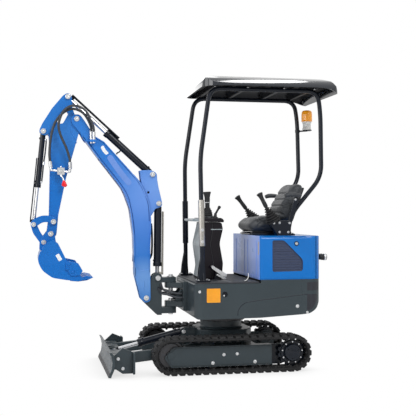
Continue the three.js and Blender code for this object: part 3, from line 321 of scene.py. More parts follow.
def new_piece(name, bm, material, bevel=0, segments=2, sharp=40):
    """Closes a bmesh into an object with bevelled edges and clean normals."""
    bmesh.ops.recalc_face_normals(bm, faces=bm.faces)
    mesh = bpy.data.meshes.new(name)
    bm.to_mesh(mesh)
    bm.free()
    mesh.materials.append(material)
    piece = bpy.data.objects.new(name, mesh)
    bpy.context.scene.collection.objects.link(piece)
    if bevel > 0:
        round_edges(piece, bevel, segments)
    mesh.shade_smooth()
    mesh.set_sharp_from_angle(angle=math.radians(sharp + 25 if bevel > 0 else sharp))
    if bevel > 0:
        weighted = piece.modifiers.new("normals", "WEIGHTED_NORMAL")
        weighted.keep_sharp = True
    return piece


def round_edges(piece, width, segments=2, angle=28):
    modifier = piece.modifiers.new("bevel", "BEVEL")
    modifier.width = width * MM
    modifier.segments = segments
    modifier.limit_method = "ANGLE"
    modifier.angle_limit = math.radians(angle)
    modifier.miter_outer = "MITER_ARC"


def prism(bm, corners, plane, low, high, step=0.14):
    """Adds an outline extruded between two distances from its plane, all in millimetres."""
    across, up = plane
    normal = across.cross(up)
    if plane is SIDE:
        low, high = -high, -low
    ends = []
    for depth in (low, high):
        ring = []
        for a, b in rounded(corners, step):
            spot = across * a + up * b + normal * depth
            ring.append(bm.verts.new(P(*spot)))
        ends.append(ring)
    bottom, top = ends
    bm.faces.new(list(reversed(bottom)))
    bm.faces.new(top)
    count = len(bottom)
    for i in range(count):
        j = (i + 1) % count
        bm.faces.new((bottom[i], bottom[j], top[j], top[i]))


def rect(a0, a1, b0, b1, radius=0):
    """A rectangle's corners, each with the same radius."""
    return [[a0, b0, radius], [a1, b0, radius], [a1, b1, radius], [a0, b1, radius]]


def box(bm, x0, x1, y0, y1, z0, z1):
    prism(bm, rect(x0, x1, y0, y1), PLAN, z0, z1)


def span(s, a, b):
    """Two Y values on side s, lowest first."""
    return sorted((s * a, s * b))


def slab(bm, outline, half, step=0.14):
    """A side outline as thick as half on either side of the middle."""
    prism(bm, outline, SIDE, -half, half, step)


def side_plate(bm, outline, s, near, far):
    """A side outline on side s, between two distances from the middle."""
    prism(bm, outline, SIDE, *span(s, near, far))


def lathe(bm, profile, start, end, segments=32):
    """Turns [radius, distance] points about the line from start towards end, in millimetres."""
    start, end = Vector(start), Vector(end)
    axis = (end - start).normalized()
    side = axis.orthogonal().normalized()
    other = axis.cross(side)
    rings = []
    for radius, distance in profile:
        centre = start + axis * distance
        if radius < 1e-6:
            rings.append([bm.verts.new(P(*centre))])
            continue
        ring = []
        for k in range(segments):
            angle = 2 * math.pi * k / segments
            spot = centre + radius * (math.cos(angle) * side + math.sin(angle) * other)
            ring.append(bm.verts.new(P(*spot)))
        rings.append(ring)
    for a, b in zip(rings, rings[1:]):
        for k in range(segments):
            n = (k + 1) % segments
            if len(a) == 1 and len(b) == 1:
                continue
            if len(a) == 1:
                bm.faces.new((a[0], b[n], b[k]))
            elif len(b) == 1:
                bm.faces.new((a[k], a[n], b[0]))
            else:
                bm.faces.new((a[k], a[n], b[n], b[k]))


def rod(bm, start, end, radius, segments=28, chamfer=0.0, end_radius=None):
    """A round bar between two points, with optional chamfered rims."""
    length = (Vector(end) - Vector(start)).length
    last = radius if end_radius is None else end_radius
    c = chamfer
    profile = [[0, 0], [radius - c, 0], [radius, c], [last, length - c], [last - c, length], [0, length]]
    if c == 0:
        profile = [[0, 0], [radius, 0], [last, length], [0, length]]
    lathe(bm, profile, start, end, segments)


def hex_bolt(bm, spot, axis, size=9, height=6, washer=True):
    """A hexagon head on a washer, standing out along axis."""
    spot, axis = Vector(spot), Vector(axis).normalized()
    if washer:
        rod(bm, spot, spot + axis * 1.6, size * 1.5, 20, 0.4)
    rod(bm, spot + axis * 1.4, spot + axis * (1.6 + height), size, 6, 1.0)


def pin_head(bm, spot, axis, radius=20, height=7):
    """A pin's turned end: collar, dished face and grease nipple."""
    spot, axis = Vector(spot), Vector(axis).normalized()
    profile = [[0, 0], [radius, 0], [radius, height - 2], [radius - 2, height], [radius * 0.55, height]]
    profile += [[radius * 0.5, height - 1.5], [5, height - 1.5], [5, height], [3, height + 0.8], [0, height + 0.8]]
    lathe(bm, profile, spot, spot + axis, 28)


def side_bolt(bm, s, x, y, z, size=9, height=6):
    hex_bolt(bm, (x, s * y, z), (0, s, 0), size, height)


def side_pin(bm, s, centre, y, radius=20, height=7):
    pin_head(bm, (centre[0], s * y, centre[1]), (0, s, 0), radius, height)


def cross_pin(bm, centre, half, radius, segments=28, chamfer=0.0):
    """A bar across the machine through [x, z]."""
    rod(bm, (centre[0], -half, centre[1]), (centre[0], half, centre[1]), radius, segments, chamfer)


def tube(bm, points, radius, segments=16, per_span=8, radii=None):
    """A round tube along a curve through the points."""
    sweep(bm, smooth_path(points, per_span), radius, segments, radii)


def bent(points, reach=60, steps=8):
    """Corner points in millimetres with each bend rounded over the reach."""
    points = [Vector(p) for p in points]
    path = [points[0]]
    for before, here, after in zip(points, points[1:], points[2:]):
        a = here + (before - here).normalized() * min(reach, 0.48 * (before - here).length)
        b = here + (after - here).normalized() * min(reach, 0.48 * (after - here).length)
        for k in range(steps + 1):
            t = k / steps
            path.append((1 - t) ** 2 * a + 2 * t * (1 - t) * here + t * t * b)
    path.append(points[-1])
    return path


def smooth_path(points, per_span=8):
    """A Catmull-Rom curve through the points."""
    points = [Vector(p) for p in points]
    ends = [2 * points[0] - points[1]] + points + [2 * points[-1] - points[-2]]
    path = []
    for p0, p1, p2, p3 in zip(ends, ends[1:], ends[2:], ends[3:]):
        for k in range(per_span):
            t = k / per_span
            a = 2 * p1 + (p2 - p0) * t
            b = (2 * p0 - 5 * p1 + 4 * p2 - p3) * t * t
            c = (3 * p1 - p0 - 3 * p2 + p3) * t**3
            path.append(0.5 * (a + b + c))
    path.append(points[-1])
    return path


def sweep(bm, path, radius, segments=16, radii=None):
    """A round tube along a path in millimetres, closed at both ends."""
    count = len(path)
    tangents = []
    for i in range(count):
        tangents.append((path[min(i + 1, count - 1)] - path[max(i - 1, 0)]).normalized())
    side = tangents[0].orthogonal().normalized()
    rings = []
    for i, (spot, along) in enumerate(zip(path, tangents)):
        side = (side - along * side.dot(along)).normalized()
        other = along.cross(side)
        r = radii[i] if radii else radius
        ring = []
        for k in range(segments):
            angle = 2 * math.pi * k / segments
            ring.append(bm.verts.new(P(*(spot + r * (math.cos(angle) * side + math.sin(angle) * other)))))
        rings.append(ring)
    for a, b in zip(rings, rings[1:]):
        for k in range(segments):
            n = (k + 1) % segments
            bm.faces.new((a[k], a[n], b[n], b[k]))
    bm.faces.new(list(reversed(rings[0])))
    bm.faces.new(rings[-1])


def build(name, material, body, *nodes, bevel=0, segments=2, sharp=40):
    def run(filler):
        bm = bmesh.new()
        filler(bm)
        piece = new_piece(name, bm, material, bevel, segments, sharp)
        if body:
            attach(piece, body)
        if nodes:
            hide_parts(*nodes)
        return piece

    return run


SIDES = (("left", 1), ("right", -1))
UNDER = "undercarriage"
for slot, materials in {
    "blue_paint": (BLUE, SEAM_SHADE, BOOM_BLUE, HOOD_BLUE, HOOD_FRONT_SHEEN),
    "slate_paint": (SLATE,),
    "black_paint": (BLACK,),
    "black_gloss": (ROOF, GLOSS),
    "black_plastic": (PLASTIC, UNDERSIDE, GRILLE, CORNER_REFLECTION_GRILLE, GREY, PANEL),
    "white_plastic": (WHITE, LABEL, CREAM, LABEL_TINT),
    "rubber": (MAT, RUBBER, HOSE),
    "chrome": (CHROME,),
    "zinc": (ZINC, SLEEVE),
    "iron": (IRON,),
    "seat_vinyl": (VINYL, RED),
    "amber": (AMBER, ORANGE),
}.items():
    dict.fromkeys(materials, slot)


def build_both(*args, **options):
    """Like build, for a filler(bm, s) that draws the left side and then the right."""
    return lambda filler: build(*args, **options)(lambda bm: [filler(bm, s) for s in (1, -1)])


def combine(piece, filler, operation="DIFFERENCE"):
    """Cuts, joins or keeps the overlap with another filled shape, applied at once."""
    bm = bmesh.new()
    filler(bm)
    other = new_piece("tool", bm, piece.data.materials[0])
    modifier = piece.modifiers.new("tool", "BOOLEAN")
    modifier.operation = operation
    modifier.solver = "EXACT"
    modifier.object = other
    others = [m for m in piece.modifiers if m.name != "tool"]
    for m in others:
        m.show_viewport = False
    graph = bpy.context.evaluated_depsgraph_get()
    mesh = bpy.data.meshes.new_from_object(piece.evaluated_get(graph))
    piece.modifiers.remove(modifier)
    for m in others:
        m.show_viewport = True
    piece.data = mesh
    mesh.shade_smooth()
    mesh.set_sharp_from_angle(angle=math.radians(45))
    bpy.data.objects.remove(other)
    return piece


# ------------------------------------------------------------------ camera, light and floor
EYE, TARGET = Vector((1.1486, 6.5597, 1.1759)), Vector((-0.2173, 0.0, 1.2054))
LENS, SHIFT_Y = 74.55, 0.0017


def set_the_stage():
    scene = bpy.context.scene
    scene.view_settings.view_transform = "Standard"
    data = bpy.data.cameras.new("camera")
    data.sensor_width = 36
    data.lens = LENS
    data.shift_y = SHIFT_Y
    camera = bpy.data.objects.new("camera", data)
    camera.location = EYE
    camera.rotation_euler = (TARGET - EYE).to_track_quat("-Z", "Y").to_euler()
    scene.collection.objects.link(camera)
    scene.camera = camera

    def lamp(name, spot, aim_at, size, watts, deep=0):
        light = bpy.data.lights.new(name, "AREA")
        light.shape = "ELLIPSE" if deep else "DISK"
        light.size = size
        light.size_y = deep or size
        light.energy = watts
        holder = bpy.data.objects.new(name, light)
        holder.location = spot
        holder.rotation_euler = (Vector(aim_at) - Vector(spot)).to_track_quat("-Z", "Y").to_euler()
        scene.collection.objects.link(holder)

    lamp("key", (-1.2, 4.3, 5.1), (-0.1, 0, 1.1), 3.0, 200)
    lamp("fill", (4.6, 4.2, 2.9), (0.2, 0, 1), 3.2, 90)
    lamp("back", (0.5, -5, 4.2), (0, 0, 1), 4, 45)
    lamp("top", (-1.5, -1.0, 5.2), (-1.1, 0.2, 2.2), 0.75, 45, 2.5)
    lamp("nose", (5, 0.5, 2.5), (0.5, 0, 1), 3, 50)

    world = bpy.data.worlds.new("studio")
    scene.world = world
    world.use_nodes = True
    tree = world.node_tree
    back = tree.nodes["Background"]
    path = tree.nodes.new("ShaderNodeLightPath")
    seen = path.outputs["Is Camera Ray"]
    for kind, share in (("Is Glossy Ray", 0.6), ("Is Transmission Ray", 1.0)):
        weighed = tree.nodes.new("ShaderNodeMath")
        weighed.operation = "MULTIPLY"
        link(tree, path.outputs[kind], weighed.inputs[0])
        weighed.inputs[1].default_value = share
        either = tree.nodes.new("ShaderNodeMath")
        either.operation = "MAXIMUM"
        link(tree, seen, either.inputs[0])
        link(tree, weighed.outputs[0], either.inputs[1])
        seen = either.outputs[0]
    level = tree.nodes.new("ShaderNodeMath")
    level.operation = "MULTIPLY_ADD"
    link(tree, seen, level.inputs[0])
    level.inputs[1].default_value = 0.66
    level.inputs[2].default_value = 0.34
    put(back, "Color", (1, 1, 1, 1))
    link(tree, level.outputs[0], back.inputs["Strength"])

    bm = bmesh.new()
    bmesh.ops.create_grid(bm, x_segments=1, y_segments=1, size=14)
    mesh = bpy.data.meshes.new("floor")
    bm.to_mesh(mesh)
    bm.free()
    floor = bpy.data.objects.new("floor", mesh)
    scene.collection.objects.link(floor)
    material, tree, shader = nodes_of("floor_white")
    put(shader, "Roughness", 0.9)
    put(shader, "Specular IOR Level", 0.1)
    grain = ramp(tree, noise(tree, 3, 3), 0.3, 0.7, 0.0, 1.0)
    link(tree, mix(tree, grain, (0.9, 0.9, 0.9), (0.93, 0.93, 0.93)), shader.inputs["Base Color"])
    # The floor seen by the camera is emission dimmed by ambient occlusion near the machine: a painted shadow.
    shadow = tree.nodes.new("ShaderNodeAmbientOcclusion")
    put(shadow, "Distance", 0.35)
    white = tree.nodes.new("ShaderNodeEmission")
    link(tree, ramp(tree, shadow.outputs["AO"], 0.1, 0.9, 0.72, 1.0), white.inputs["Strength"])
    path = tree.nodes.new("ShaderNodeLightPath")
    blend = tree.nodes.new("ShaderNodeMixShader")
    link(tree, path.outputs["Is Camera Ray"], blend.inputs[0])
    link(tree, shader.outputs[0], blend.inputs[1])
    link(tree, white.outputs[0], blend.inputs[2])
    link(tree, blend.outputs[0], tree.nodes["Material Output"].inputs["Surface"])
    mesh.materials.append(material)


set_the_stage()

# ------------------------------------------------------------------ undercarriage
AXLE_X, AXLE_Z = 455, 137
LUGS, LUG_PHASE, TEETH = 46, 0.34, 13
PITCH = 2 * (2 * AXLE_X + math.pi * AXLE_Z) / LUGS
TRACK_IN, TRACK_OUT = 285, 465


def belt_point(distance, inset):
    """A place on the loop round both axles, inset from the lug tips."""
    run, arc = 2 * AXLE_X, math.pi * AXLE_Z
    d = distance % (2 * (run + arc))
    r = AXLE_Z - inset
    if d < run:
        return AXLE_X - d, AXLE_Z + r
    d -= run
    if d < arc:
        angle = math.pi / 2 + d / AXLE_Z
        return -AXLE_X + r * math.cos(angle), AXLE_Z + r * math.sin(angle)
    d -= arc
    if d < run:
        return -AXLE_X + d, AXLE_Z - r
    angle = 1.5 * math.pi + (d - run) / AXLE_Z
    return AXLE_X + r * math.cos(angle), AXLE_Z + r * math.sin(angle)


def loft_lug(bm, s, at, base, tip, base_inset, tip_inset):
    """A moulded block on the belt: outlines of [along, y] at its root and at its tip."""
    rings = []
    for outline, inset in ((base, base_inset), (tip, tip_inset)):
        ring = []
        for along, y in outline:
            x, z = belt_point(at + along * PITCH, inset)
            ring.append(bm.verts.new(P(x, s * y, z)))
        rings.append(ring)
    count = len(rings[0])
    bm.faces.new(rings[0])
    bm.faces.new(rings[1])
    for i in range(count):
        j = (i + 1) % count
        bm.faces.new((rings[0][i], rings[0][j], rings[1][j], rings[1][i]))


def on_axle(x, s, near, far):
    """Two places along an axle on side s."""
    return (x, s * near, AXLE_Z), (x, s * far, AXLE_Z)


def make_track(hand, s):
    section = [(TRACK_IN, 27), (TRACK_IN, 18), (TRACK_IN + 5, 14), (TRACK_OUT - 5, 14), (TRACK_OUT, 18)]
    section += [(TRACK_OUT, 27), (TRACK_OUT - 4, 30), (TRACK_IN + 4, 30)]
    steps = LUGS * 4

    @build(f"track_belt_{hand}", RUBBER, UNDER, f"track_{hand}", sharp=30)
    def belt(bm):
        rings = []
        for k in range(steps):
            ring = []
            for y, inset in section:
                x, z = belt_point(k * PITCH / 4, inset)
                ring.append(bm.verts.new(P(x, s * y, z)))
            rings.append(ring)
        for a, b in zip(rings, rings[1:] + rings[:1]):
            for i in range(len(section)):
                j = (i + 1) % len(section)
                bm.faces.new((a[i], a[j], b[j], b[i]))

    @build(f"track_lugs_{hand}", RUBBER, UNDER, bevel=2.2)
    def lugs(bm):
        mid = (TRACK_IN + TRACK_OUT) / 2
        for lug in range(LUGS):
            at = (lug + LUG_PHASE) * PITCH
            for low, high, shift, tip_inset in ((TRACK_IN + 1, mid + 12, 0.5, 3.5), (mid - 12, TRACK_OUT - 1, 0, 0.6)):
                base = [(-0.4, low), (-0.43, (low + high) / 2), (-0.39, high), (0.39, high)]
                base += [(0.43, (low + high) / 2), (0.4, low)]
                tip = [(u * 0.78, low + (high - low) * (0.06 + 0.88 * (y - low) / (high - low))) for u, y in base]
                loft_lug(bm, s, at + shift * PITCH, base, tip, 16, tip_inset)

    @build(f"track_horns_{hand}", RUBBER, UNDER, bevel=1.2, segments=1)
    def horns(bm):
        for lug in range(LUGS):
            for y in (TRACK_IN + 22, TRACK_OUT - 40):
                base = [(-0.22, y), (-0.22, y + 16), (0.22, y + 16), (0.22, y)]
                tip = [(-0.1, y + 4), (-0.1, y + 12), (0.1, y + 12), (0.1, y + 4)]
                loft_lug(bm, s, (lug + LUG_PHASE) * PITCH, base, tip, 28, 44)


def bolt_circle(bm, s, y, radius, count, phase, size, height):
    """Plain hexagon heads on a circle about the sprocket's axle."""
    for k in range(count):
        angle = phase + 2 * math.pi * k / count
        spot = Vector((-AXLE_X, s * y, AXLE_Z)) + radius * Vector((math.cos(angle), 0, math.sin(angle)))
        hex_bolt(bm, spot, (0, s, 0), size, height, False)


def make_track_frame(hand, s):
    @build(f"track_beam_{hand}", SLATE, UNDER, f"track_frame_{hand}", bevel=4)
    def frame_piece(bm):
        outline = [[448, 188, 12], [507, 124, 22], [453, 50, 12], [-300, 50, 3], [-300, 199, 3], [430, 199, 12]]
        side_plate(bm, outline, s, 330, 398)

    combine(frame_piece, lambda bm: rod(bm, *on_axle(AXLE_X, s, 341, 391), 112, 64))

    @build(f"beam_cover_{hand}", SLATE, UNDER, bevel=1.5)
    def cover(bm):
        rod(bm, *on_axle(AXLE_X, s, 400, 404), 27, 40, 1.5)
        outline = [[440, 178, 10], [488, 124, 18], [444, 62, 10], [-292, 62, 6], [-292, 190, 6], [424, 190, 10]]
        side_plate(bm, outline, s, 397, 402)

    @build(f"beam_bolts_{hand}", ZINC, UNDER, bevel=0.6, segments=1)
    def bolts(bm):
        for x, z in ((65, 135), (-35, 138)):
            side_bolt(bm, s, x, 402, z, 8)
        for x in (148, -170):
            side_bolt(bm, s, x, 402, 76, 9)

    @build(f"track_rollers_{hand}", IRON, UNDER)
    def rollers(bm):
        for x in (148, -170):
            profile = [[0, 0], [30, 0], [36, 4], [36, 12], [29, 16], [29, 62], [36, 66], [36, 74], [30, 78], [0, 78]]
            lathe(bm, profile, (x, s * 318, 66.3), (x, s * 396, 66.3), 40)

    @build(f"idler_wheel_{hand}", IRON, UNDER, f"idler_{hand}", bevel=1)
    def idler(bm):
        profile = [[20.6, 0], [34, 0], [36, 8], [86, 10], [91, 2], [91, 12], [106, 14], [106, 32], [91, 34]]
        profile += [[91, 44], [86, 36], [36, 38], [34, 46], [20.6, 46]]
        lathe(bm, profile, *on_axle(AXLE_X, s, 343, 389), 64)

    @build(f"idler_axle_{hand}", ZINC, UNDER)
    def axle(bm):
        rod(bm, *on_axle(AXLE_X, s, 330, 402), 20, 32, 1)

    @build(f"sprocket_ring_{hand}", BLACK, UNDER, f"sprocket_{hand}", bevel=1.5)
    def toothed(bm):
        outline = []
        for tooth in range(TEETH):
            for share, r in ((0, 91), (0.12, 93), (0.28, 104.5), (0.5, 105.5), (0.72, 104.5), (0.88, 93)):
                angle = 2 * math.pi * (tooth + share) / TEETH
                outline.append([-AXLE_X + r * math.cos(angle), AXLE_Z + r * math.sin(angle)])
        side_plate(bm, outline, s, 364, 390)

    @build(f"sprocket_hub_{hand}", BLACK, UNDER)
    def hub(bm):
        profile = [[0, 0], [86, 0], [86, 56], [84, 58], [70, 58], [68, 56], [64, 56], [62, 60], [62, 82], [58, 86]]
        profile += [[24, 86], [22, 84.5], [0, 84.5]]
        lathe(bm, profile, *on_axle(-AXLE_X, s, 346, 432), 64)

    @build(f"sprocket_bolts_{hand}", ZINC, UNDER, bevel=0.5, segments=1)
    def hub_bolts(bm):
        bolt_circle(bm, s, 403, 77, 9, 0.2, 6.5, 5)
        bolt_circle(bm, s, 428.4, 44, 3, 0.6, 5, 2)

    @build(f"motor_mount_{hand}", SLATE, UNDER, bevel=1)
    def motor(bm):
        outline = [[-AXLE_X - 70, 87, 40], [-AXLE_X - 70, 187, 40], [-AXLE_X + 20, 199, 8], [-280, 193, 4]]
        outline += [[-280, 56, 4], [-AXLE_X + 20, 75, 8]]
        side_plate(bm, outline, s, 330, 340)
        lathe(bm, [[0, 0], [58, 0], [60, 3], [60, 14], [72, 16], [72, 45], [0, 45]], *on_axle(-AXLE_X, s, 300, 345), 48)

    @build(f"frame_tail_{hand}", BLACK, UNDER, bevel=1)
    def tail(bm):
        inner, low = -AXLE_X + 30, -AXLE_X + 70
        outline = [[inner, 190, 4], [-290, 193, 4], [-290, 44, 4], [low, 44, 10], [inner, 60, 10]]
        side_plate(bm, outline, s, 341, 345)


for hand, s in SIDES:
    make_track(hand, s)
    make_track_frame(hand, s)


@build("centre_frame", SLATE, UNDER, "car_body", bevel=6)
def turret(bm):
    plan = [[200, -150, 60], [200, 150, 60], [130, 215, 40], [-150, 215, 60], [-215, 120, 60]]
    plan += [[-215, -120, 60], [-150, -215, 60], [130, -215, 40]]
    prism(bm, plan, PLAN, 140, 290)


@build("cross_members", SLATE, UNDER, bevel=3)
def members(bm):
    lathe(bm, [[0, 0], [175, 0], [165, 8], [160, 16], [160, 61.6], [0, 61.6]], (0, 0, 290), (0, 0, 352), 96)
    for x in (155, -155):
        box(bm, x - 45, x + 45, -329.7, 329.7, 120, 196)
    for s in (1, -1):
        lug = [[150, 125], [320, 118, 30], [362, 150, 32], [330, 190, 30], [150, 215]]
        side_plate(bm, lug, s, 214, 232)
        box(bm, 150, 200, *span(s, 120, 220), 140, 196)
        ear = [[170, 200], [300, 200, 40], [326, 262, 30], [290, 290, 30], [170, 290]]
        side_plate(bm, ear, s, 29.5, 43.5)


@build("blade_pins", ZINC, UNDER)
def pins(bm):
    for s in (1, -1):
        rod(bm, (330, s * 225, 150), (330, s * 279, 150), 15, 28, 1.5)
        side_pin(bm, s, (330, 150), 276, 18, 6)
        side_pin(bm, s, (300, 262), 43, 15, 6)
    cross_pin(bm, (300, 262), 46, 12, 24, 1)


@build("slew_bearing", IRON, UNDER, "slew_ring")
def ring(bm):
    profile = [[120, 0], [186, 0], [190, 3], [190, 14], [183, 17], [183, 21], [190, 24], [190, 35], [186, 38]]
    lathe(bm, profile + [[120, 38], profile[0]], (0, 0, 352), (0, 0, 390), 128)
    for k in range(24):
        angle = 2 * math.pi * k / 24
        hex_bolt(bm, (172 * math.cos(angle), 172 * math.sin(angle), 352), (0, 0, -1), 7, 5, False)


# ------------------------------------------------------------------ rams
class Ram:
    """A cylinder between its base pin and its rod pin, as turned pieces on two bodies."""

    def __init__(self, name, base, end, barrel, rod_radius, gland, stroke, eye, eye_half):
        self.start, self.end = Vector((base[0], 0, base[1])), Vector((end[0], 0, end[1]))
        self.length = (self.end - self.start).length
        self.axis = (self.end - self.start).normalized()
        bore = eye + 16

        @build(f"{name}_cylinder", BLACK, f"{name}_barrel", f"{name}_barrel", bevel=0.8, segments=1)
        def barrel_filler(bm):
            profile = [[0, eye - 6], [barrel - 3, eye - 6], [barrel, eye - 3], [barrel, gland - 34]]
            profile += [[barrel + 1, gland - 32], [barrel + 1, gland - 28], [barrel + 4, gland - 26]]
            profile += [[barrel + 4, gland - 2], [barrel + 2, gland], [rod_radius + 4, gland]]
            profile += [[rod_radius + 3, gland - 2], [rod_radius + 0.6, gland - 2], [rod_radius + 0.6, bore], [0, bore]]
            lathe(bm, profile, self.start, self.end, 40)
            self.eye(bm, self.start, eye, eye_half)
            for distance in (bore + 12, gland - 44):
                spot = self.along(distance) + self.side() * (barrel - 2)
                rod(bm, spot, spot + self.side() * 7, 8, 20, 1)

        @build(f"{name}_piston_rod", CHROME, f"{name}_rod", f"{name}_rod")
        def rod_filler(bm):
            rod(bm, self.along(bore + stroke + 4), self.along(self.length - eye + 6), rod_radius, 40, 2)

        @build(f"{name}_rod_eye", BLACK, f"{name}_rod", bevel=1, segments=1)
        def eye_filler(bm):
            self.eye(bm, self.end, eye - 2, eye_half)
            neck = self.along(self.length - eye - 12)
            rod(bm, neck, neck + self.axis * 20, rod_radius + 3, 32, 2)

    def along(self, distance):
        return self.start + self.axis * distance

    def side(self):
        return Vector((-self.axis.z, 0, self.axis.x))

    def eye(self, bm, centre, radius, half):
        cross_pin(bm, (centre.x, centre.z), half, radius, 40, 2)

    def strip(self, name, body, low, high, offset, thickness, half, lug_low, lug_from, material=BLACK):
        """A bent guard plate beside the rod with its fixing lug and bolts."""
        side = self.side()
        way = 1 if offset > 0 else -1
        near, far = (offset, offset + thickness)[::way]

        def flat(a, b, c, d):
            corners = [self.along(a) + side * c, self.along(b) + side * c]
            corners += [self.along(b) + side * d, self.along(a) + side * d]
            return [[v.x, v.z] for v in corners]

        @build(name, material, body, bevel=1.2)
        def guard(bm):
            slab(bm, flat(low, high, offset, offset + thickness), half)
            slab(bm, flat(lug_low, high, lug_from, near), 8)
            for y in (-half, half - 3):
                prism(bm, flat(low, high, near - 4.8 * way, near), SIDE, y, y + 3)

        @build(name + "_bolts", ZINC, body)
        def bolts(bm):
            for y in (-half * 0.5, half * 0.5):
                for distance in (high - 30, low + 14):
                    spot = self.along(distance) + side * (far - 1.4 * way) + Vector((0, y, 0))
                    hex_bolt(bm, spot, side * way, 4, 2, False)


BLADE_RAM_BASE, BLADE_RAM_END = [300, 262], [832, 131]
BOOM_RAM_BRACKET, BOOM_RAM_POST = [494, 1245], [500, 676]
ARM_RAM_BRACKET, ARM_RAM_END = [542, 1466], [1180, 2042]
BUCKET_RAM_BASE, ROCKER_END = [1360, 1780], [1430, 1087]
BOOM_FOOT, ARM_PIVOT = pin_at("boom_lift"), pin_at("arm_joint")
BUCKET_PIVOT, ROCKER_PIVOT, BUCKET_LINK_PIN = pin_at("bucket_joint"), pin_at("rocker_pivot"), [1356, 955]

Ram("blade_ram", BLADE_RAM_BASE, BLADE_RAM_END, 29, 14, 360, 90, 26, 29)
boom_ram = Ram("boom_ram", BOOM_RAM_BRACKET, BOOM_RAM_POST, 29, 15, 481, 20, 28, 27)
arm_ram = Ram("arm_ram", ARM_RAM_BRACKET, ARM_RAM_END, 28, 15, 476, 300, 28, 33)
bucket_ram = Ram("bucket_ram", BUCKET_RAM_BASE, ROCKER_END, 20, 12, 420, 165, 24, 24.5)
boom_ram.strip("boom_ram_guard", "boom_ram_rod", 60, 545, -44, 4, 24, 524, 0, SLEEVE)
arm_ram.strip("arm_ram_guard", "arm_ram_rod", 370, 845, 36, 5, 26, 815, 0)
bucket_ram.strip("bucket_ram_guard", "bucket_ram_rod", 200, 682, 27, 4, 20, 660, 0)


# ------------------------------------------------------------------ dozer blade
@build("mouldboard", SLATE, "blade", "blade", bevel=2)
def mouldboard(bm):
    front = [[915, 8], [903, 36], [891, 62, 60], [885, 110, 60], [895, 160, 40], [907, 185, 2]]
    back = [[891, 183, 2], [873, 160, 30], [865, 110, 40], [873, 58, 40], [897, 6]]
    slab(bm, front + back, 463)


@build("cutting_edge", IRON, "blade", bevel=1)
def edge(bm):
    slab(bm, [[895, 5], [915, 8], [904, 38, 2], [883, 44]], 462.5)


@build_both("blade_frame", SLATE, "blade", bevel=3)
def frame_filler(bm, s):
    arm = [[300, 150, 32], [318, 186, 30], [352, 188, 20], [871, 140], [871, 60], [318, 116, 30]]
    side_plate(bm, arm, s, 235, 275)
    box(bm, 783, 871, *span(s, 275, 380), 50, 150)
    wing = [[735, 20], [806, 20, 8], [868, 62], [868, 150], [806, 205, 8], [735, 175]]
    side_plate(bm, wing, s, 378, 392)
    side_plate(bm, [[722, 26, 2], [736, 20, 2], [736, 178, 2], [722, 172, 2]], s, 378, 452)
    lug = [[801, 60], [869, 60], [869, 158], [833, 164, 24], [801, 131, 30]]
    side_plate(bm, lug, s, 29.5, 44)
    side_plate(bm, [[783, 60], [869, 50], [869, 148], [783, 140]], s, 44, 236)


@build("blade_bolts", ZINC, "blade")
def pins(bm):
    for s in (1, -1):
        side_pin(bm, s, BLADE_RAM_END, 44, 20, 14)
        for dx, dz in ((0, 0), (-34, -70)):
            side_bolt(bm, s, 838 + dx, 391.5, 128 + dz, 8)
    cross_pin(bm, BLADE_RAM_END, 46, 10, 24)


# ------------------------------------------------------------------ house
DECK, HOOD_TOP, MAT_TOP = 656, 1003, 668.3
ON_MAT, ON_HOOD, HOUSE_HALF = MAT_TOP + 0.3, HOOD_TOP + 0.3, 440
BOW = 19  # how far the rear bulges
SWING_X, BOOM_HALF, ARM_HALF = 395, 58, 45
LAMPS, LAMP_Z = (160, 216), 832
LEVERS = (-34, 34)
REST_Y, POST_Y, STAY_Y = 273, 350, 220
BEACON = (-778, -226)


def house_plan(inset):
    front, rear, half, front_r, rear_r = 286, -675, HOUSE_HALF, 70, 110
    side = half - inset
    corners = [[front - inset, side, front_r - inset], [rear + inset, side, rear_r - inset]]
    corners.append([rear - BOW + inset, 160, 300])
    return corners + [[x, -y, r] for x, y, r in reversed(corners)]


def deck_plan(front, rear, half, front_r, rear_r):
    return [[front, half, front_r], [rear, half, rear_r], [rear, -half, rear_r], [front, -half, front_r]]


@build("house_skirt", SLATE, "house", "house_frame", bevel=7, segments=3)
def skirt(bm):
    outline = [[286, DECK, 14], [286, 398, 30], [-200, 402, 300], [-520, 420], [-520, 679.7], [-208, 679.7, 4]]
    outline += [[-208, DECK, 4]]
    slab(bm, outline, HOUSE_HALF)


combine(skirt, lambda bm: prism(bm, house_plan(0), PLAN, 300, 800, 0.09), "INTERSECT")
combine(skirt, lambda bm: prism(bm, deck_plan(270, -504, 424, 54, 4), PLAN, 430, 800, 0.12))
combine(skirt, lambda bm: rod(bm, (66, 425, 579), (66, 445, 579), 21, 40))


@build("deck_plate", SLATE, "house")
def deck(bm):
    prism(bm, deck_plan(278, -206, 432, 60, 4), PLAN, 650, 655.8)


@build("nose_bracket", SLATE, "house", bevel=4)
def nose_piece(bm):
    for z0, z1 in ((598, 640.5), (454.5, 500)):
        plate = [[246, -120], [395, -44], [439, -44, 44], [439, 44, 44], [395, 44], [246, 120]]
        prism(bm, plate, PLAN, z0, z1)
    box(bm, 262, 318, -130, 130, 430, 652)
    for s in (1, -1):
        gusset = [[318, 500], [372, 500, 8], [360, 548, 30], [318, 598]]
        side_plate(bm, gusset, s, 62, 74)


combine(nose_piece, lambda bm: rod(bm, (SWING_X, 0, 300), (SWING_X, 0, 800), 18, 48))


@build("turntable", SLATE, "house")
def turntable(bm):
    lathe(bm, [[0, 0], [178, 0], [178, 31.7], [0, 31.7]], (0, 0, 390.3), (0, 0, 422), 96)


@build("counterweight_shell", SLATE, "house", "counterweight", bevel=7, segments=3)
def counterweight(bm):
    outline = [[-520.6, 420], [-580, 426, 80], [-640, 458, 90], [-681, 520, 110], [-694, 600, 110], [-694, 679.7],
               [-520.6, 679.7]]
    slab(bm, outline, HOUSE_HALF)


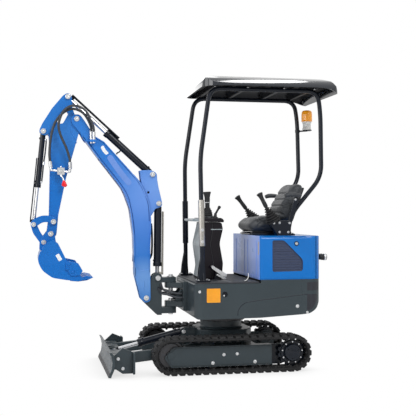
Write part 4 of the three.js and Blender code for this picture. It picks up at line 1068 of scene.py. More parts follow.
combine(counterweight, lambda bm: prism(bm, house_plan(0), PLAN, 300, 800, 0.09), "INTERSECT")
combine(counterweight, lambda bm: box(bm, -640, -510, -330, 330, 560, 800))


# Dark perforated panels on the curved rear corners, drawn as grilles: a painted dark reflection of the corner.
@build("corner_dark_reflection", CORNER_REFLECTION_GRILLE, "house")
def corner_panels(bm):
    slab(bm, [[-560, 597, 5], [-662, 597, 5], [-668, 658, 5], [-560, 658, 5]], 441)
    slab(bm, [[-560, 444, 8], [-596, 458, 30], [-634, 502, 40], [-652, 566, 6], [-560, 570, 6]], 441)


combine(corner_panels, lambda bm: prism(bm, house_plan(-0.9), PLAN, 300, 800, 0.09), "INTERSECT")
combine(corner_panels, lambda bm: box(bm, -655, -500, -400, 400, 300, 800))


@build_both("side_swages", BLACK, "house")
def swage(bm, s):
    y = s * 439.4
    line = [(-30, y, 422), (-36, y, 462), (-66, y, 500), (-120, y, 521), (-300, y, 542), (-519, y, 566)]
    tube(bm, line, 2.2, 10, 10)
    sweep(bm, [Vector((-523, y, 566)), Vector((-566, y, 570))], 2.2, 10)


@build("deck_mat", MAT, "house", "floor_mat", bevel=1.5)
def mat(bm):
    prism(bm, deck_plan(274, -198, 428, 58, 6), PLAN, 656.3, 666)
    for k in range(17):
        y = -384 + 48 * k
        box(bm, -186, 2, y, y + 26, 665, MAT_TOP)
    for k in range(5):
        for s in (1, -1):
            across = (300, 300) if k > 2 else (240, 400)
            box(bm, 30 + 44 * k, 56 + 44 * k, *span(s, *across), 665, MAT_TOP)


@build("side_label", ORANGE, "house")
def label(bm):
    prism(bm, rect(100, 201, 521, 623, 6), SIDE, 439.8, 441.2)


@build("house_bolts", ZINC, "house")
def fittings(bm):
    hex_bolt(bm, (-485, 439.5, 482), (0, 1, 0), 9, 6)
    hex_bolt(bm, (252, 433, 600), (0.6, 1, 0), 7, 4)
    hex_bolt(bm, (-485, -439.5, 482), (0, -1, 0), 9, 6)
    rod(bm, (72, 426, 570), (72, 438, 570), 7, 20, 1)
    hex_bolt(bm, (-562, 439.5, 434), (0, 1, 0), 7, 3)


# A black disc closing the back of the side hole: painted shade inside the hole.
build("lifting_hole_shade", BLACK, "house")(lambda bm: rod(bm, (66, 423, 579), (66, 426, 579), 24, 40))


VENT = [[-296, 971, 14], [-386, 970, 46], [-532, 825, 46], [-532, 741, 20], [-296, 737, 14]]


def hood_plan(inset):
    half, front, rear, r = 430 - inset, -200 - inset, -675 + inset, 90 - inset
    corners = [[front, half, 22 - inset], [rear, half, r], [-694 + inset, 160, 300]]
    return corners + [[x, -y, r] for x, y, r in reversed(corners)]


def hood_crown(inset):
    top = HOOD_TOP - inset
    return [[-430 + inset, 640], [430 - inset, 640], [430 - inset, top, 30 - inset], [-430 + inset, top, 30 - inset]]


def hood_shell(name, body, node, x0, x1):
    piece = build(name, HOOD_BLUE, body, node, bevel=4, segments=3)(
        lambda bm: prism(bm, hood_plan(0), PLAN, 680, HOOD_TOP, 0.09))
    combine(piece, lambda bm: prism(bm, hood_crown(0), FRONT, -900, 0, 0.09), "INTERSECT")
    side = [[-190, 640], [-190, HOOD_TOP, 10], [-694, HOOD_TOP, 46], [-694, 640]]
    combine(piece, lambda bm: slab(bm, side, 500, 0.09), "INTERSECT")

    combine(piece, lambda bm: prism(bm, hood_plan(8), PLAN, 600, HOOD_TOP - 8, 0.12))
    combine(piece, lambda bm: box(bm, x0, x1, -600, 600, 600, 1200), "INTERSECT")
    # The front face takes the paler hood front paint, a painted reflection on that face.
    piece.data.materials.append(HOOD_FRONT_SHEEN)
    for face in piece.data.polygons:
        if face.normal.x > 0.9 and face.center.x > P(-206, 0, 0)[0]:
            face.material_index = 1
    return piece


hood = hood_shell("hood_shell", "house", "engine_hood", -634, -190)
for hand, s in SIDES:
    combine(hood, lambda bm: side_plate(bm, VENT, s, 400, 450))
    inner = [[x + (-3 if x > -400 else 3), z, r] for x, z, r in VENT]
    build(f"vent_sheet_{hand}", GRILLE, "house", f"vent_mesh_{hand}")(lambda bm: side_plate(bm, inner, s, 417, 421.7))

    @build(f"vent_frame_{hand}", GRILLE, "house")
    def frame_bars(bm):
        edge = [[x, z + (-3 if z > 900 else 2), r] for x, z, r in inner]
        ring = [Vector((x, s * 424, z)) for x, z in rounded(edge, 0.2)]
        sweep(bm, ring + [ring[0]], 3.4, 8)
        for k in range(11):
            z = 752 + 19.5 * k
            left = -529 if z < 825 else -529 + (z - 825) * 0.97
            sweep(bm, [Vector((left + 4, s * 422.5, z)), Vector((-300, s * 422.5, z))], 2.2, 8)


@build("hood_front_ribs", HOOD_FRONT_SHEEN, "house")
def ribs(bm):
    for y in (-300, -30, 60, 330):
        path = [Vector((-199.2, y, z)) for z in (706, 850, 968)]
        sweep(bm, path, 1.8, 12)
    prism(bm, rect(-410, 410, 690, 700, 4), FRONT, -200.2, -197.5)


build("hood_label", CREAM, "house")(lambda bm: prism(bm, rect(384, 406, 862, 958, 4), FRONT, -200.2, -198.8))


@build("deck_cable", WHITE, "house")
def cable(bm):
    path = [(-92, 395, MAT_TOP + 3), (-104, 396, 676), (-117, 396, 690), (-122, 396, 710), (-119, 396, 727)]
    tube(bm, path, 3, 12)


@build("hood_lock_ring", BLACK, "house")
def lock(bm):
    lathe(bm, [[0, 0], [17, 0], [17, 2], [15, 4], [12, 4], [12, 3], [0, 3]], (-481, 430, 945), (-481, 440, 945), 40)


build("hood_lock", ZINC, "house")(lambda bm: lathe(
    bm, [[0, 0], [11, 0], [11, 5], [9, 7], [3, 7], [3, 5.5], [0, 5.5]], (-481, 431, 945), (-481, 440, 945), 32))
build("hood_seal", RUBBER, "house")(lambda bm: prism(bm, deck_plan(-206, -630, 424, 16, 4), PLAN, 679.9, 682))
block = frame["nodes"]["engine_block"]
block.data.materials.clear()
block.data.materials.append(IRON)

door = hood_shell("door_shell", "rear_door", "rear_door", -900, -640)


def slots(bm):
    for k in range(7):
        z = 740 + 14 * k
        prism(bm, rect(-300, -120, z, z + 6, 3), FRONT, -720, -660)


combine(door, slots)


@build("door_knuckles", BLACK, "rear_door")
def hinge(bm):
    for z in (760, 930):
        rod(bm, (-646, -404, z - 30), (-646, -404, z + 30), 9, 24, 1)
        for dz in (-30, 10):
            rod(bm, (-646, -404, z + dz), (-646, -404, z + dz + 1), 9.6, 24)


@build("lamp_bracket", PLASTIC, "rear_door", "rear_lamps", bevel=1.5)
def latch(bm):
    prism(bm, rect(120, 240, 812, 852, 8), FRONT, -700, -675)
    box(bm, -741, -675.3, 180, 196, 822, 838)
    prism(bm, rect(140, 236, 820, 840, 4), FRONT, -749, -733)


@build("lamp_housings", PLASTIC, "rear_door")
def lamps(bm):
    for y in LAMPS:
        profile = [[0, 0], [18, 0], [23, 12], [24, 40], [24, 52], [21, 54], [20, 50], [0, 50]]
        lathe(bm, profile, (-735, y, LAMP_Z), (-793, y, LAMP_Z), 40)


@build("lamp_lenses", WHITE, "rear_door")
def lenses(bm):
    for y in LAMPS:
        lathe(bm, [[0, 0], [20, 0], [19, 3], [12, 6], [0, 7]], (-785, y, LAMP_Z), (-793, y, LAMP_Z), 40)


@build("lamp_rims", ZINC, "rear_door")
def rims(bm):
    for y in LAMPS:
        lathe(bm, [[24.2, 0], [25.6, 1], [25.6, 15], [24.2, 16], [24.2, 0]], (-768, y, LAMP_Z), (-784, y, LAMP_Z), 40)


# ------------------------------------------------------------------ operator's place
CLOTH_FRAMES, VOXEL = 20, 0.006


def soft_form(name, node, outline, half, low_z, cap):
    """A stuffed cover: a rounded loft swollen by cloth pressure, kept flat where it rests."""
    bm = bmesh.new()
    points = rounded(outline, 0.16)
    centre = sum(points, Vector((0, 0))) / len(points)
    steps = 30
    rings = []
    for k in range(steps + 1):
        t = -1 + 2 * k / steps
        t = math.copysign(abs(t) ** 0.7, t) * 0.985
        shrink = (1 - abs(t) ** 5) ** (1 / 3)
        keep = 0.62 + 0.38 * shrink
        kept = [(centre.x + (p.x - centre.x) * keep, centre.y + (p.y - centre.y) * keep) for p in points]
        rings.append([bm.verts.new(P(x, half * t, z)) for x, z in kept])
    for a, b in zip(rings, rings[1:]):
        for i in range(len(points)):
            j = (i + 1) % len(points)
            bm.faces.new((a[i], a[j], b[j], b[i]))
    bm.faces.new(list(reversed(rings[0])))
    bm.faces.new(rings[-1])
    piece = new_piece(name, bm, VINYL, sharp=180)
    remesh = piece.modifiers.new("voxels", "REMESH")
    remesh.mode = "VOXEL"
    remesh.voxel_size = VOXEL
    apply_all(piece)
    inflate(piece, cap)
    relax = piece.modifiers.new("relax", "SMOOTH")
    relax.factor = 0.5
    relax.iterations = 4
    apply_all(piece)
    for vertex in piece.data.vertices:
        vertex.co.z = max(vertex.co.z, low_z * MM)
    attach(piece, "house")
    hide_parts(node)
    return piece


def apply_all(piece):
    graph = bpy.context.evaluated_depsgraph_get()
    mesh = bpy.data.meshes.new_from_object(piece.evaluated_get(graph))
    piece.modifiers.clear()
    piece.data = mesh
    mesh.shade_smooth()


def inflate(piece, cap):
    """Swells the cover with cloth pressure, each point moving at most cap metres."""
    rest = [v.co.copy() for v in piece.data.vertices]
    cloth = piece.modifiers.new("cloth", "CLOTH")
    cloth.settings.effector_weights.gravity = 0
    for setting, value in {"use_pressure": True, "uniform_pressure_force": 4, "quality": 5, "mass": 0.3,
                           "tension_stiffness": 15}.items():
        setattr(cloth.settings, setting, value)
    cloth.point_cache.frame_start, cloth.point_cache.frame_end = 1, CLOTH_FRAMES
    scene = bpy.context.scene
    for step in range(1, CLOTH_FRAMES + 1):
        scene.frame_set(step)
    apply_all(piece)
    scene.frame_set(1)
    for vertex, before in zip(piece.data.vertices, rest):
        move = vertex.co - before
        if move.length > cap:
            vertex.co = before + move.normalized() * cap


def press_seams(piece, lines, depth, width, side):
    """Pulls sewn channels in along lines (a, b, c), where a*x + b*z = c mm, on the faces that look along side."""
    normals = [v.normal.copy() for v in piece.data.vertices]
    for vertex, normal in zip(piece.data.vertices, normals):
        facing = max(0.0, normal.dot(side))
        if facing < 0.15:
            continue
        x, z = (vertex.co.x - SLEW_X) / MM, vertex.co.z / MM
        pull = 0.0
        for a, b, c in lines:
            pull = max(pull, math.exp(-(((a * x + b * z - c) / width) ** 2)))
        vertex.co -= normal * pull * depth * MM * min(1, facing * 1.6)


SEAT = [[-418, 1040, 20], [-196, 1040, 40], [-166, 1064, 40], [-172, 1096, 36], [-226, 1124, 70], [-418, 1150, 30]]
BACK = [[-436, 1106, 24], [-436, 1200, 80], [-545, 1388, 50], [-590, 1408, 40], [-628, 1396, 40], [-532, 1106, 40]]
cushion = soft_form("cushion", "seat_cushion", SEAT, 208, 1035.5, 0.01)
press_seams(cushion, [(1, 0.12, -115), (1, 0.12, -195)], 7, 7, Vector((0, 0, 1)))
backrest = soft_form("backrest", "seat_back", BACK, 188, 1102.4, 0.012)
press_seams(backrest, [(-0.5, 0.866, c) for c in (1230, 1286, 1342, 1398)], 8, 7, Vector((0.9, 0, 0.4)))
for soft in (cushion, backrest):
    soft.modifiers.new("fine", "SUBSURF").levels = 1


@build("seat_rails", BLACK, "house", "seat_base", bevel=1.5)
def base(bm):
    for s in (1, -1):
        rail = rect(-430, -210, 1003.4, 1022, 2)
        side_plate(bm, rail, s, 120, 168)
        side_plate(bm, rect(-425, -214, 1024, 1034, 2), s, 128, 160)
    rod(bm, (-214, -150, 1012), (-196, -150, 1012), 5, 16)
    rod(bm, (-214, 150, 1012), (-196, 150, 1012), 5, 16)
    rod(bm, (-198, -152, 1012), (-198, 152, 1012), 5, 16)


@build("back_support", BLACK, "house", "seat_back_bracket", bevel=2)
def bracket(bm):
    slab(bm, [[-560, ON_HOOD], [-432, ON_HOOD], [-432, 1012, 3], [-560, 1012, 3]], 60)
    slab(bm, [[-560, 1010], [-500, 1010], [-500, 1101.5, 2], [-528, 1101.5, 2]], 60)


@build("back_shell", PLASTIC, "house", bevel=2)
def back_shell(bm):
    outline = [[-634, 1366, 12], [-620, 1372, 10], [-530, 1112, 10], [-540, 1106, 10]]
    slab(bm, outline, 150)


for hand, s in SIDES:
    @build(f"joystick_box_{hand}", BLACK, "house", f"joystick_console_{hand}", bevel=5, segments=3)
    def housing(bm):
        outline = [[-474, 1003.4, 3], [-372, 1003.4, 3], [-322, 1076, 30], [-306, 1116, 14], [-484, 1116, 14]]
        side_plate(bm, outline, s, 244, 306)

    @build(f"armrest_{hand}", VINYL, "house", sharp=180)
    def arm_rest(bm):
        path = smooth_path([(x, s * REST_Y, z) for x, z in ((-440, 1304), (-470, 1313), (-520, 1312), (-566, 1306))])
        radii = [14 + 5 * math.sin(math.pi * min(1, 0.12 + k / (len(path) - 1))) for k in range(len(path))]
        sweep(bm, path, 16, 20, radii)

    for vertex in arm_rest.data.vertices:
        vertex.co.y = s * REST_Y * MM + (vertex.co.y - s * REST_Y * MM) * 1.72
        vertex.co.z = 1.308 + (vertex.co.z - 1.308) * 0.95

    @build(f"armrest_post_{hand}", BLACK, "house", bevel=2.5)
    def post(bm):
        side_plate(bm, [[-500, 1112, 4], [-470, 1112, 4], [-516, 1292, 8], [-552, 1292, 8]], s, 252, 270)

    @build(f"joystick_box_bolts_{hand}", ZINC, "house")
    def bolts(bm):
        for x, z in ((-344, 1096), (-388, 1098), (-466, 1096), (-456, 1028), (-388, 1028)):
            side_bolt(bm, s, x, 305.5, z, 6, 4)
        side_bolt(bm, s, -524, 270, 1275, 6, 4)

    foot = Vector((-344, s * 275, 1116.3))
    top = Vector((-234, 275, 1326)) if s > 0 else Vector((-194, -275, 1312))
    axis = (top - foot).normalized()

    @build(f"joystick_boot_{hand}", RUBBER, "house", f"joystick_{hand}")
    def boot(bm):
        profile = [[0, -14], [54, -14], [54, 0]]
        for fold in range(6):
            wide, low = 54 - fold * 6.4, fold * 18
            profile += [[wide - 11, low + 1], [wide - 1, low + 7], [wide, low + 9.5], [wide - 1, low + 12]]
            profile.append([wide - 13, low + 17.5])
        profile += [[12, 112], [11, 120], [0, 120]]
        lathe(bm, profile, foot, foot + axis, 40)
        rod(bm, foot, foot + Vector((0, 0, 4)), 56, 40, 1.5)

    @build(f"joystick_grip_{hand}", PLASTIC, "house")
    def grip(bm):
        start = foot + axis * 96
        profile = [[0, 0], [11, 0], [12, 16], [16, 28], [16, 60], [15, 92], [16, 112], [19, 134], [24, 148]]
        length = (top - start).length
        scale = (length - 6) / 158
        profile += [[24, 155], [20, 158], [0, 158.5]]
        lathe(bm, [[r, d * scale] for r, d in profile], start, top, 36)

    @build(f"joystick_button_{hand}", GREY, "house")
    def button(bm):
        spot = top - axis * 7
        rod(bm, spot, spot + axis * 4.5, 7, 24, 1)

front_edge = [[188, ON_MAT, 4], [171, 765, 90], [195, 935, 120], [164, 1070, 40], [160, 1101, 4]]


@build("console_front", GLOSS, "house", "control_console", bevel=16, segments=4)
def front_lobe(bm):
    back = [[104, 1101, 4], [98, 1050, 40], [118, 940, 120], [92, 790, 120], [104, ON_MAT, 4]]
    slab(bm, front_edge + back, 158)


@build("console_rear", GLOSS, "house", bevel=18, segments=4)
def rear_lobe(bm):
    front = [[99, ON_MAT, 4], [87, 790, 120], [113, 940, 120], [93, 1050, 40], [99, 1101, 4]]
    back = [[27, 1101, 20], [17, 1050, 40], [43, 940, 120], [16, 790, 120], [26, ON_MAT, 4]]
    slab(bm, front + back, 158)


@build("console_core", PLASTIC, "house")
def core(bm):
    front = [[180, ON_MAT, 4], [163, 765, 90], [186, 935, 120], [154, 1070, 40], [150, 1099, 4]]
    back = [[36, 1099, 20], [30, 1050, 40], [54, 940, 120], [28, 790, 120], [36, ON_MAT, 4]]
    slab(bm, front + back, 154)


# A pale grey strip across both lobes: a painted highlight on the glossy console.
@build("console_highlight_band", PANEL, "house", bevel=4, segments=3)
def band(bm):
    slab(bm, [[112, 1043, 3], [112, 1051, 3], [18, 1051, 3], [18, 1043, 3]], 158.6)


# The front face panel is pale grey: a painted reflection of the bright surroundings.
@build("console_face_reflection", PANEL, "house", bevel=1.2)
def face(bm):
    outer = [[x + 1.6, z, r] for x, z, r in front_edge]
    inner = [[x - 3, z, r] for x, z, r in reversed(outer)]
    for edge, foot, top in ((outer, 0, -1), (inner, -1, 0)):
        edge[foot][1] += 12
        edge[top][1] -= 6
    slab(bm, outer + inner, 136)


@build("console_cap", GLOSS, "house", bevel=7, segments=3)
def cap(bm):
    slab(bm, [[14, 1101, 6], [176, 1106, 2], [176, 1134, 2], [30, 1135.6, 30], [11, 1116, 14]], 172)


@build("console_shelf", PANEL, "house", bevel=5, segments=3)
def shelf(bm):
    slab(bm, [[172, 1106, 2], [250, 1109, 6], [262, 1119, 8], [250, 1128, 8], [172, 1131, 2]], 174)


@build("lever_plate", PLASTIC, "house", "travel_levers", bevel=3)
def pad(bm):
    box(bm, 66, 160, -76, 76, 1134, 1142)
    prism(bm, rect(52, 92, 106, 150), PLAN, 1134.5, 1140)


@build("lever_boots", RUBBER, "house")
def lever_boots(bm):
    for y in LEVERS:
        profile = [[0, 0], [40, 0], [40, 6], [31, 10], [34, 16], [29, 24], [31, 32], [25, 42], [26, 50], [18, 60],
                   [17, 66], [13, 74], [0, 74]]
        lathe(bm, profile, (104, y, 1140), (105, y, 1214), 36)


@build("lever_boot_rings", GREY, "house")
def rings(bm):
    for y in LEVERS:
        rod(bm, (104, y, 1139), (104, y, 1143), 42.5, 36, 1)


@build("travel_lever_grips", PLASTIC, "house")
def grips(bm):
    for y in LEVERS:
        profile = [[0, 0], [11, 0], [11, 46], [12, 48], [14, 60], [14, 84], [18, 106], [23, 120], [23, 127], [20, 130],
                   [0, 130.5]]
        lathe(bm, profile, (105, y, 1207), (109, y, 1338), 36)


@build("lever_collars", ZINC, "house")
def collars(bm):
    for y in LEVERS:
        rod(bm, (106.2, y, 1250), (106.4, y, 1256), 13.5, 24, 0.8)


@build("blade_lever_stick", PLASTIC, "house", "blade_lever")
def stick(bm):
    lathe(bm, [[0, 0], [19, 0], [19, 3], [14, 8], [11, 20], [9, 34], [0, 34]], (72, 128, 1138), (68, 128, 1172), 28)
    rod(bm, (68, 128, 1166), (42, 128, 1212), 8, 20)
    lathe(bm, [[0, 0], [9, 0], [12, 10], [12, 18], [8, 24], [0, 25]], (46, 128, 1204), (33, 128, 1226), 28)


for hand, s in SIDES:
    @build(f"pedal_plate_{hand}", ZINC, "house", f"foot_pedal_{hand}", bevel=1.2)
    def plate(bm):
        side_plate(bm, [[10, 700], [120, 768], [115, 776], [5, 709]], s, 176, 202)
        side_plate(bm, [[10, 700], [120, 768], [115, 776], [5, 709]], s, 206, 232)
        side_plate(bm, [[6, 692, 5], [40, 696, 10], [122, 758, 8], [117, 778, 6], [4, 711, 4]], s, 230, 233)
        side_plate(bm, [[2, 676, 4], [30, 674, 8], [84, 704, 10], [80, 714, 4], [20, 690, 20]], s, 214, 232)
        for k in range(6):
            along = 0.1 + 0.15 * k
            x, z = 5 + 110 * along, 709 + 67 * along
            for a, b in ((179, 199), (209, 229)):
                box(bm, x - 3, x + 3, *span(s, a, b), z - 1, z + 3.2)

    @build(f"pedal_stem_{hand}", BLACK, "house", bevel=1)
    def stem(bm):
        outline = [[40, ON_MAT, 2], [96, ON_MAT, 2], [80, 742, 4], [52, 726, 4]]
        side_plate(bm, outline, s, 198, 210)
        box(bm, 30, 104, *span(s, 184, 224), ON_MAT, MAT_TOP + 5)
        rod(bm, (66, s * 186, 722), (66, s * 222, 722), 6, 20)

# ------------------------------------------------------------------ canopy
def front_post(s):
    return [(212, s * POST_Y, ON_MAT), (226, s * 322, 1581), (150, s * 306, 2100)]


def rear_tube(s):
    spots = (-690, 300, 2100), (-716, 292, 1934), (-726, 282, 1450), (-505, 224, 1165), (-480, STAY_Y, 1021)
    return [(x, s * y, z) for x, y, z in spots]


def canopy_path(s):
    return bent(front_post(s) + rear_tube(s), 90, 10)


def roof_profile(inset):
    deep = 40 if inset else 0
    nose = [[211 - inset, 2106 - deep, 4], [206 - inset, 2158 - inset / 2, 44], [164, 2197 - inset, 90]]
    top = [[74, 2223 - inset, 200], [-80, 2236 - inset, 400], [-300, 2239 - inset, 300], [-700, 2239 - inset, 100]]
    tail = [[-766 + inset, 2200, 80], [-796 + inset, 2140, 80], [-823 + inset * 1.4, 2070 - deep, 3]]
    inner = [[-760, 2096 - 1.5 * deep, 20], [-700, 2112 - 1.5 * deep, 20], [100, 2112 - 1.5 * deep]]
    return nose + top + tail + inner


def roof_plan(inset):
    return [[212 - inset, 398 - inset, 110], [-823 + inset, 425 - inset, 60],
            [-823 + inset, -425 + inset, 60], [212 - inset, -398 + inset, 110]]


def roof_crown(inset):
    half = 425 - inset
    bend = [math.radians(36 + 3 * k) for k in range(11)]
    rise = [[half, 2100, 6], [half - 6, 2110, 6]]
    rise += [[277.5 + (170 - inset) * math.cos(a), 2016 + (170 - inset) * math.sin(a), 0] for a in bend]
    rise += [[200, 2207 - inset, 300], [90, 2226 - inset, 300]]
    return [[-half, 1990], [half, 1990]] + rise + [[0, 2239 - inset]] + [[-y, z, r] for y, z, r in reversed(rise)]


for hand, s in SIDES:
    build(f"canopy_tube_{hand}", BLACK, "house", f"canopy_frame_{hand}", sharp=60)(
        lambda bm: sweep(bm, canopy_path(s), 17, 32))
    foot, knee = Vector(front_post(s)[0]), Vector(front_post(s)[1])

    def along(z):
        return foot.lerp(knee, (z - foot.z) / (knee.z - foot.z))

    @build(f"post_sleeve_{hand}", SLEEVE if s > 0 else BLACK, "house")
    def sleeve(bm):
        low, high = along(927), along(1269)
        length = (high - low).length
        profile = [[0, 0], [21, 0], [23, 2], [23, length - 2], [21, length], [0, length]]
        lathe(bm, profile, low, high, 40)

    @build(f"sleeve_bolts_{hand}", ZINC, "house")
    def sleeve_bolts(bm):
        for z in (961, 1048):
            hex_bolt(bm, along(z) + Vector((0, s * 22, 0)), (0.1, s, 0), 8, 5)

    @build(f"post_shoe_{hand}", BLACK, "house", bevel=1.5)
    def shoe(bm):
        y, stay = s * POST_Y, s * STAY_Y
        prism(bm, rect(160, 262, y - 45, y + 45, 8), PLAN, ON_MAT, MAT_TOP + 11)
        for across in (-20, 20):
            gusset = [[194, 676], [252, 676], [244, 760, 30], [228, 850], [206, 850]]
            prism(bm, gusset, SIDE, y + across - 3, y + across + 3)
        gusset = [[y - 40, 676], [y + 40, 676], [y + 20, 740, 20], [y - 20, 740, 20]]
        prism(bm, gusset, FRONT, 209, 215)
        prism(bm, rect(-530, -430, stay - 22, stay + 22, 6), PLAN, ON_HOOD, 1014)
        lathe(bm, [[0, 0], [24, 0], [24, 3], [20, 12], [0, 12]], (-480, stay, 1013), (-480, stay, 1030), 28)

    @build(f"shoe_bolts_{hand}", ZINC, "house")
    def shoe_bolts(bm):
        for x in (172, 250):
            for y in (-32, 32):
                hex_bolt(bm, (x, s * POST_Y + y, MAT_TOP + 11), (0, 0, 1), 7, 5)
        for x in (-518, -442):
            hex_bolt(bm, (x, s * STAY_Y, 1014), (0, 0, 1), 6, 5)


def roof_form(name, inset):
    """The roof filled solid, or its hollow when inset."""
    bm = bmesh.new()
    slab(bm, roof_profile(inset), 500, 0.07)
    form = new_piece(name, bm, ROOF)
    combine(form, lambda b: prism(b, roof_plan(inset), PLAN, 1900, 2400, 0.1), "INTERSECT")
    combine(form, lambda b: prism(b, roof_crown(inset), FRONT, -900, 300, 0.08), "INTERSECT")
    return form


ROOF_SKIN = 10
roof = roof_form("roof_shell", 0)
inner = roof_form("roof_inner", ROOF_SKIN)
modifier = roof.modifiers.new("hollow", "BOOLEAN")
modifier.operation = "DIFFERENCE"
modifier.solver = "EXACT"
modifier.object = inner
apply_all(roof)
bpy.data.objects.remove(inner)
roof.data.set_sharp_from_angle(angle=math.radians(38))
roof.data.materials.append(UNDERSIDE)
for face in roof.data.polygons:
    if face.normal.z < -0.25 and face.center.z > 2.09:
        face.material_index = 1
round_edges(roof, 3, 3, 32)
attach(roof, "house")
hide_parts("canopy_roof")


@build("roof_ribs", UNDERSIDE, "house", bevel=2)
def ribs(bm):
    for x in (110, -140, -420, -660):
        prism(bm, [[-372, 2108, 4], [372, 2108, 4], [380, 2140, 10], [340, 2150 if x > 0 else 2172, 20],
                   [-340, 2150 if x > 0 else 2172, 20], [-380, 2140, 10]], FRONT, x - 13, x + 13)


@build_both("roof_bolts", ZINC, "house")
def bolts(bm, s):
    for x in (120, -130, -410, -650):
        hex_bolt(bm, (x, s * 352, 2110), (0, 0, -1), 7, 5)


@build("beacon_shelf", BLACK, "house", "beacon_bracket", bevel=1)
def bracket(bm):
    prism(bm, rect(-812, -752, -256, -196, 8), PLAN, 1848, 1855.5)
    sweep(bm, [Vector((-722, -282, 1849)), Vector((-782, -226, 1849))], 6, 16)
    rod(bm, (-718, -289, 1838), (-718, -289, 1862), 20, 28, 1)


build("beacon_foot", WHITE, "house", "beacon_base")(lambda bm: lathe(
    bm, [[0, 0], [36, 0], [36, 12], [33, 16], [32, 50], [38, 58], [38, 68], [0, 68]],
    (*BEACON, 1856.3), (*BEACON, 1925), 40))


@build("beacon_lens", AMBER, "house", "beacon", sharp=60)
def dome(bm):
    profile = [[0, 0], [45, 0], [45, 5], [43, 7]]
    for k in range(8):
        profile += [[44.6, 10 + 7 * k], [43, 13.5 + 7 * k]]
    profile += [[43, 68], [41, 80], [34, 88], [18, 91.5], [0, 92]]
    lathe(bm, profile, (*BEACON, 1925.3), (*BEACON, 2017), 48)


# ------------------------------------------------------------------ swing post
cheek = [[470, 394], [505, 394, 14], [606, 492, 26], [630, 530, 40], [600, 572, 40], [566, 640, 30],
         [536, 704, 34], [500, 718, 34], [468, 700, 30], [470, 640]]


@build("post_cheeks", SLATE, "swing_post", "swing_post", bevel=3)
def body(bm):
    for s in (1, -1):
        side_plate(bm, cheek, s, 28, 45.5)
    box(bm, 470, 486, -29, 29, 394, 612)
    box(bm, 470, 474, -29, 29, 610, 655)
    slab(bm, [[484, 394], [520, 408], [520, 440], [484, 440]], 29)


@build("swing_lugs", SLATE, "swing_post", bevel=1.5)
def lugs(bm):
    for z0, z1 in ((641, 680), (405, 454)):
        back = 462 if z0 > 600 else 470
        for s in (1, -1):
            plate = [[484, s * 27.9], [484, s * 45], [SWING_X, s * 40], [356, s * 30, 10], [356, 0], [back, 0]]
            plate.append([back, s * 27.9])
            prism(bm, plate, PLAN, z0, z1)
        profile = [[18, 0], [36, 0], [39.5, 3], [39.5, z1 - z0 - 3], [36, z1 - z0], [18, z1 - z0]]
        lathe(bm, profile + [profile[0]], (SWING_X, 0, z0), (SWING_X, 0, z1), 48)


@build("post_pins", ZINC, "swing_post")
def pins(bm):
    rod(bm, (SWING_X, 0, 562), (SWING_X, 0, 700), 17, 32, 1.5)
    rod(bm, (SWING_X, 0, 394), (SWING_X, 0, 518), 17, 32, 1.5)
    rod(bm, (SWING_X, 0, 680), (SWING_X, 0, 688), 27, 32, 1.5)
    for s in (1, -1):
        side_pin(bm, s, BOOM_FOOT, 59, 20, 8)
        side_pin(bm, s, BOOM_RAM_POST, 45, 20, 17)
    cross_pin(bm, BOOM_FOOT, 59, 15, 28)
    hex_bolt(bm, (386, 14, 688), (0, 0, 1), 5, 4)


routes = [
    [(292, 70, 560), (330, 84, 556), (372, 74, 560), (420, 60, 572), (462, 52, 590), (480, 50, 640)],
    [(292, 96, 536), (336, 112, 528), (384, 94, 536), (432, 70, 552), (470, 54, 560), (498, 51, 600)],
]
for i in range(4):
    route = [(x, y if i < 2 else -y, z) for x, y, z in routes[i % 2]]
    hose = build(f"swing_hose_{i + 1}", HOSE, None)(lambda bm: tube(bm, route, 8.5, 14, 10))
    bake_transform(hose)


@build_both("swing_hose_nuts", ZINC, "house")
def ferrules(bm, s):
    rod(bm, (286, s * 70, 560), (306, s * 71, 560), 11, 6, 1)
    rod(bm, (286, s * 96, 536), (306, s * 98, 536), 11, 6, 1)


@build_both("swing_hose_clamps", BLACK, "swing_post", bevel=1.2)
def clamps(bm, s):
    box(bm, 478, 502, *span(s, 45.5, 60), 598, 610)


# ------------------------------------------------------------------ boom
BOOM_FRONT = [[632, 520, 40], [678, 703], [690, 1011, 200], [716, 1202, 200], [768, 1345, 300], [953, 1582],
              [1089, 1766], [1150, 1842, 36]]
BOOM_BACK = [[1056, 1862, 40], [985, 1752], [911, 1709], [720, 1500, 260], [628, 1394, 260], [568, 1256, 260],
             [552, 1117, 260], [560, 904], [560, 701]]
BOOM_FOOT_END = [[557, 530, 36], [562, 500, 40], [600, 488, 40]]
BOOM_TIP_END = [[1156, 1900, 40], [1096, 1916, 40]]


def inset_line(points, amount):
    """A polyline moved sideways by amount, to its left."""
    moved = []
    for i, p in enumerate(points):
        a, b = points[max(i - 1, 0)], points[min(i + 1, len(points) - 1)]
        along = (b - a).normalized()
        moved.append(p + Vector((-along.y, along.x)) * amount)
    return moved


def strip_between(bm, line, thick, half):
    """A flange plate along an open outline line, thick millimetres to its left, across the boom."""
    other = inset_line(line, thick)
    corners = [[p.x, p.y] for p in line] + [[p.x, p.y] for p in reversed(other)]
    slab(bm, corners, half)


def open_line(corners, step=0.1):
    """Rounded points of a line whose two ends are sharp."""
    return rounded([corners[0][:2]] + corners[1:-1] + [corners[-1][:2]], step)


@build("boom_box", BOOM_BLUE, "boom", "boom", bevel=2)
def boom_box(bm):
    slab(bm, BOOM_FOOT_END + BOOM_FRONT + BOOM_TIP_END + BOOM_BACK, 52, 0.1)


def fork_slots(bm):
    slab(bm, [[500, 400], [720, 400], [720, 700], [640, 730], [500, 730]], 46)
    slab(bm, [[1010, 1752], [1075, 1700], [1300, 1860], [1180, 2000], [1030, 1960]], 46)


combine(boom_box, fork_slots)


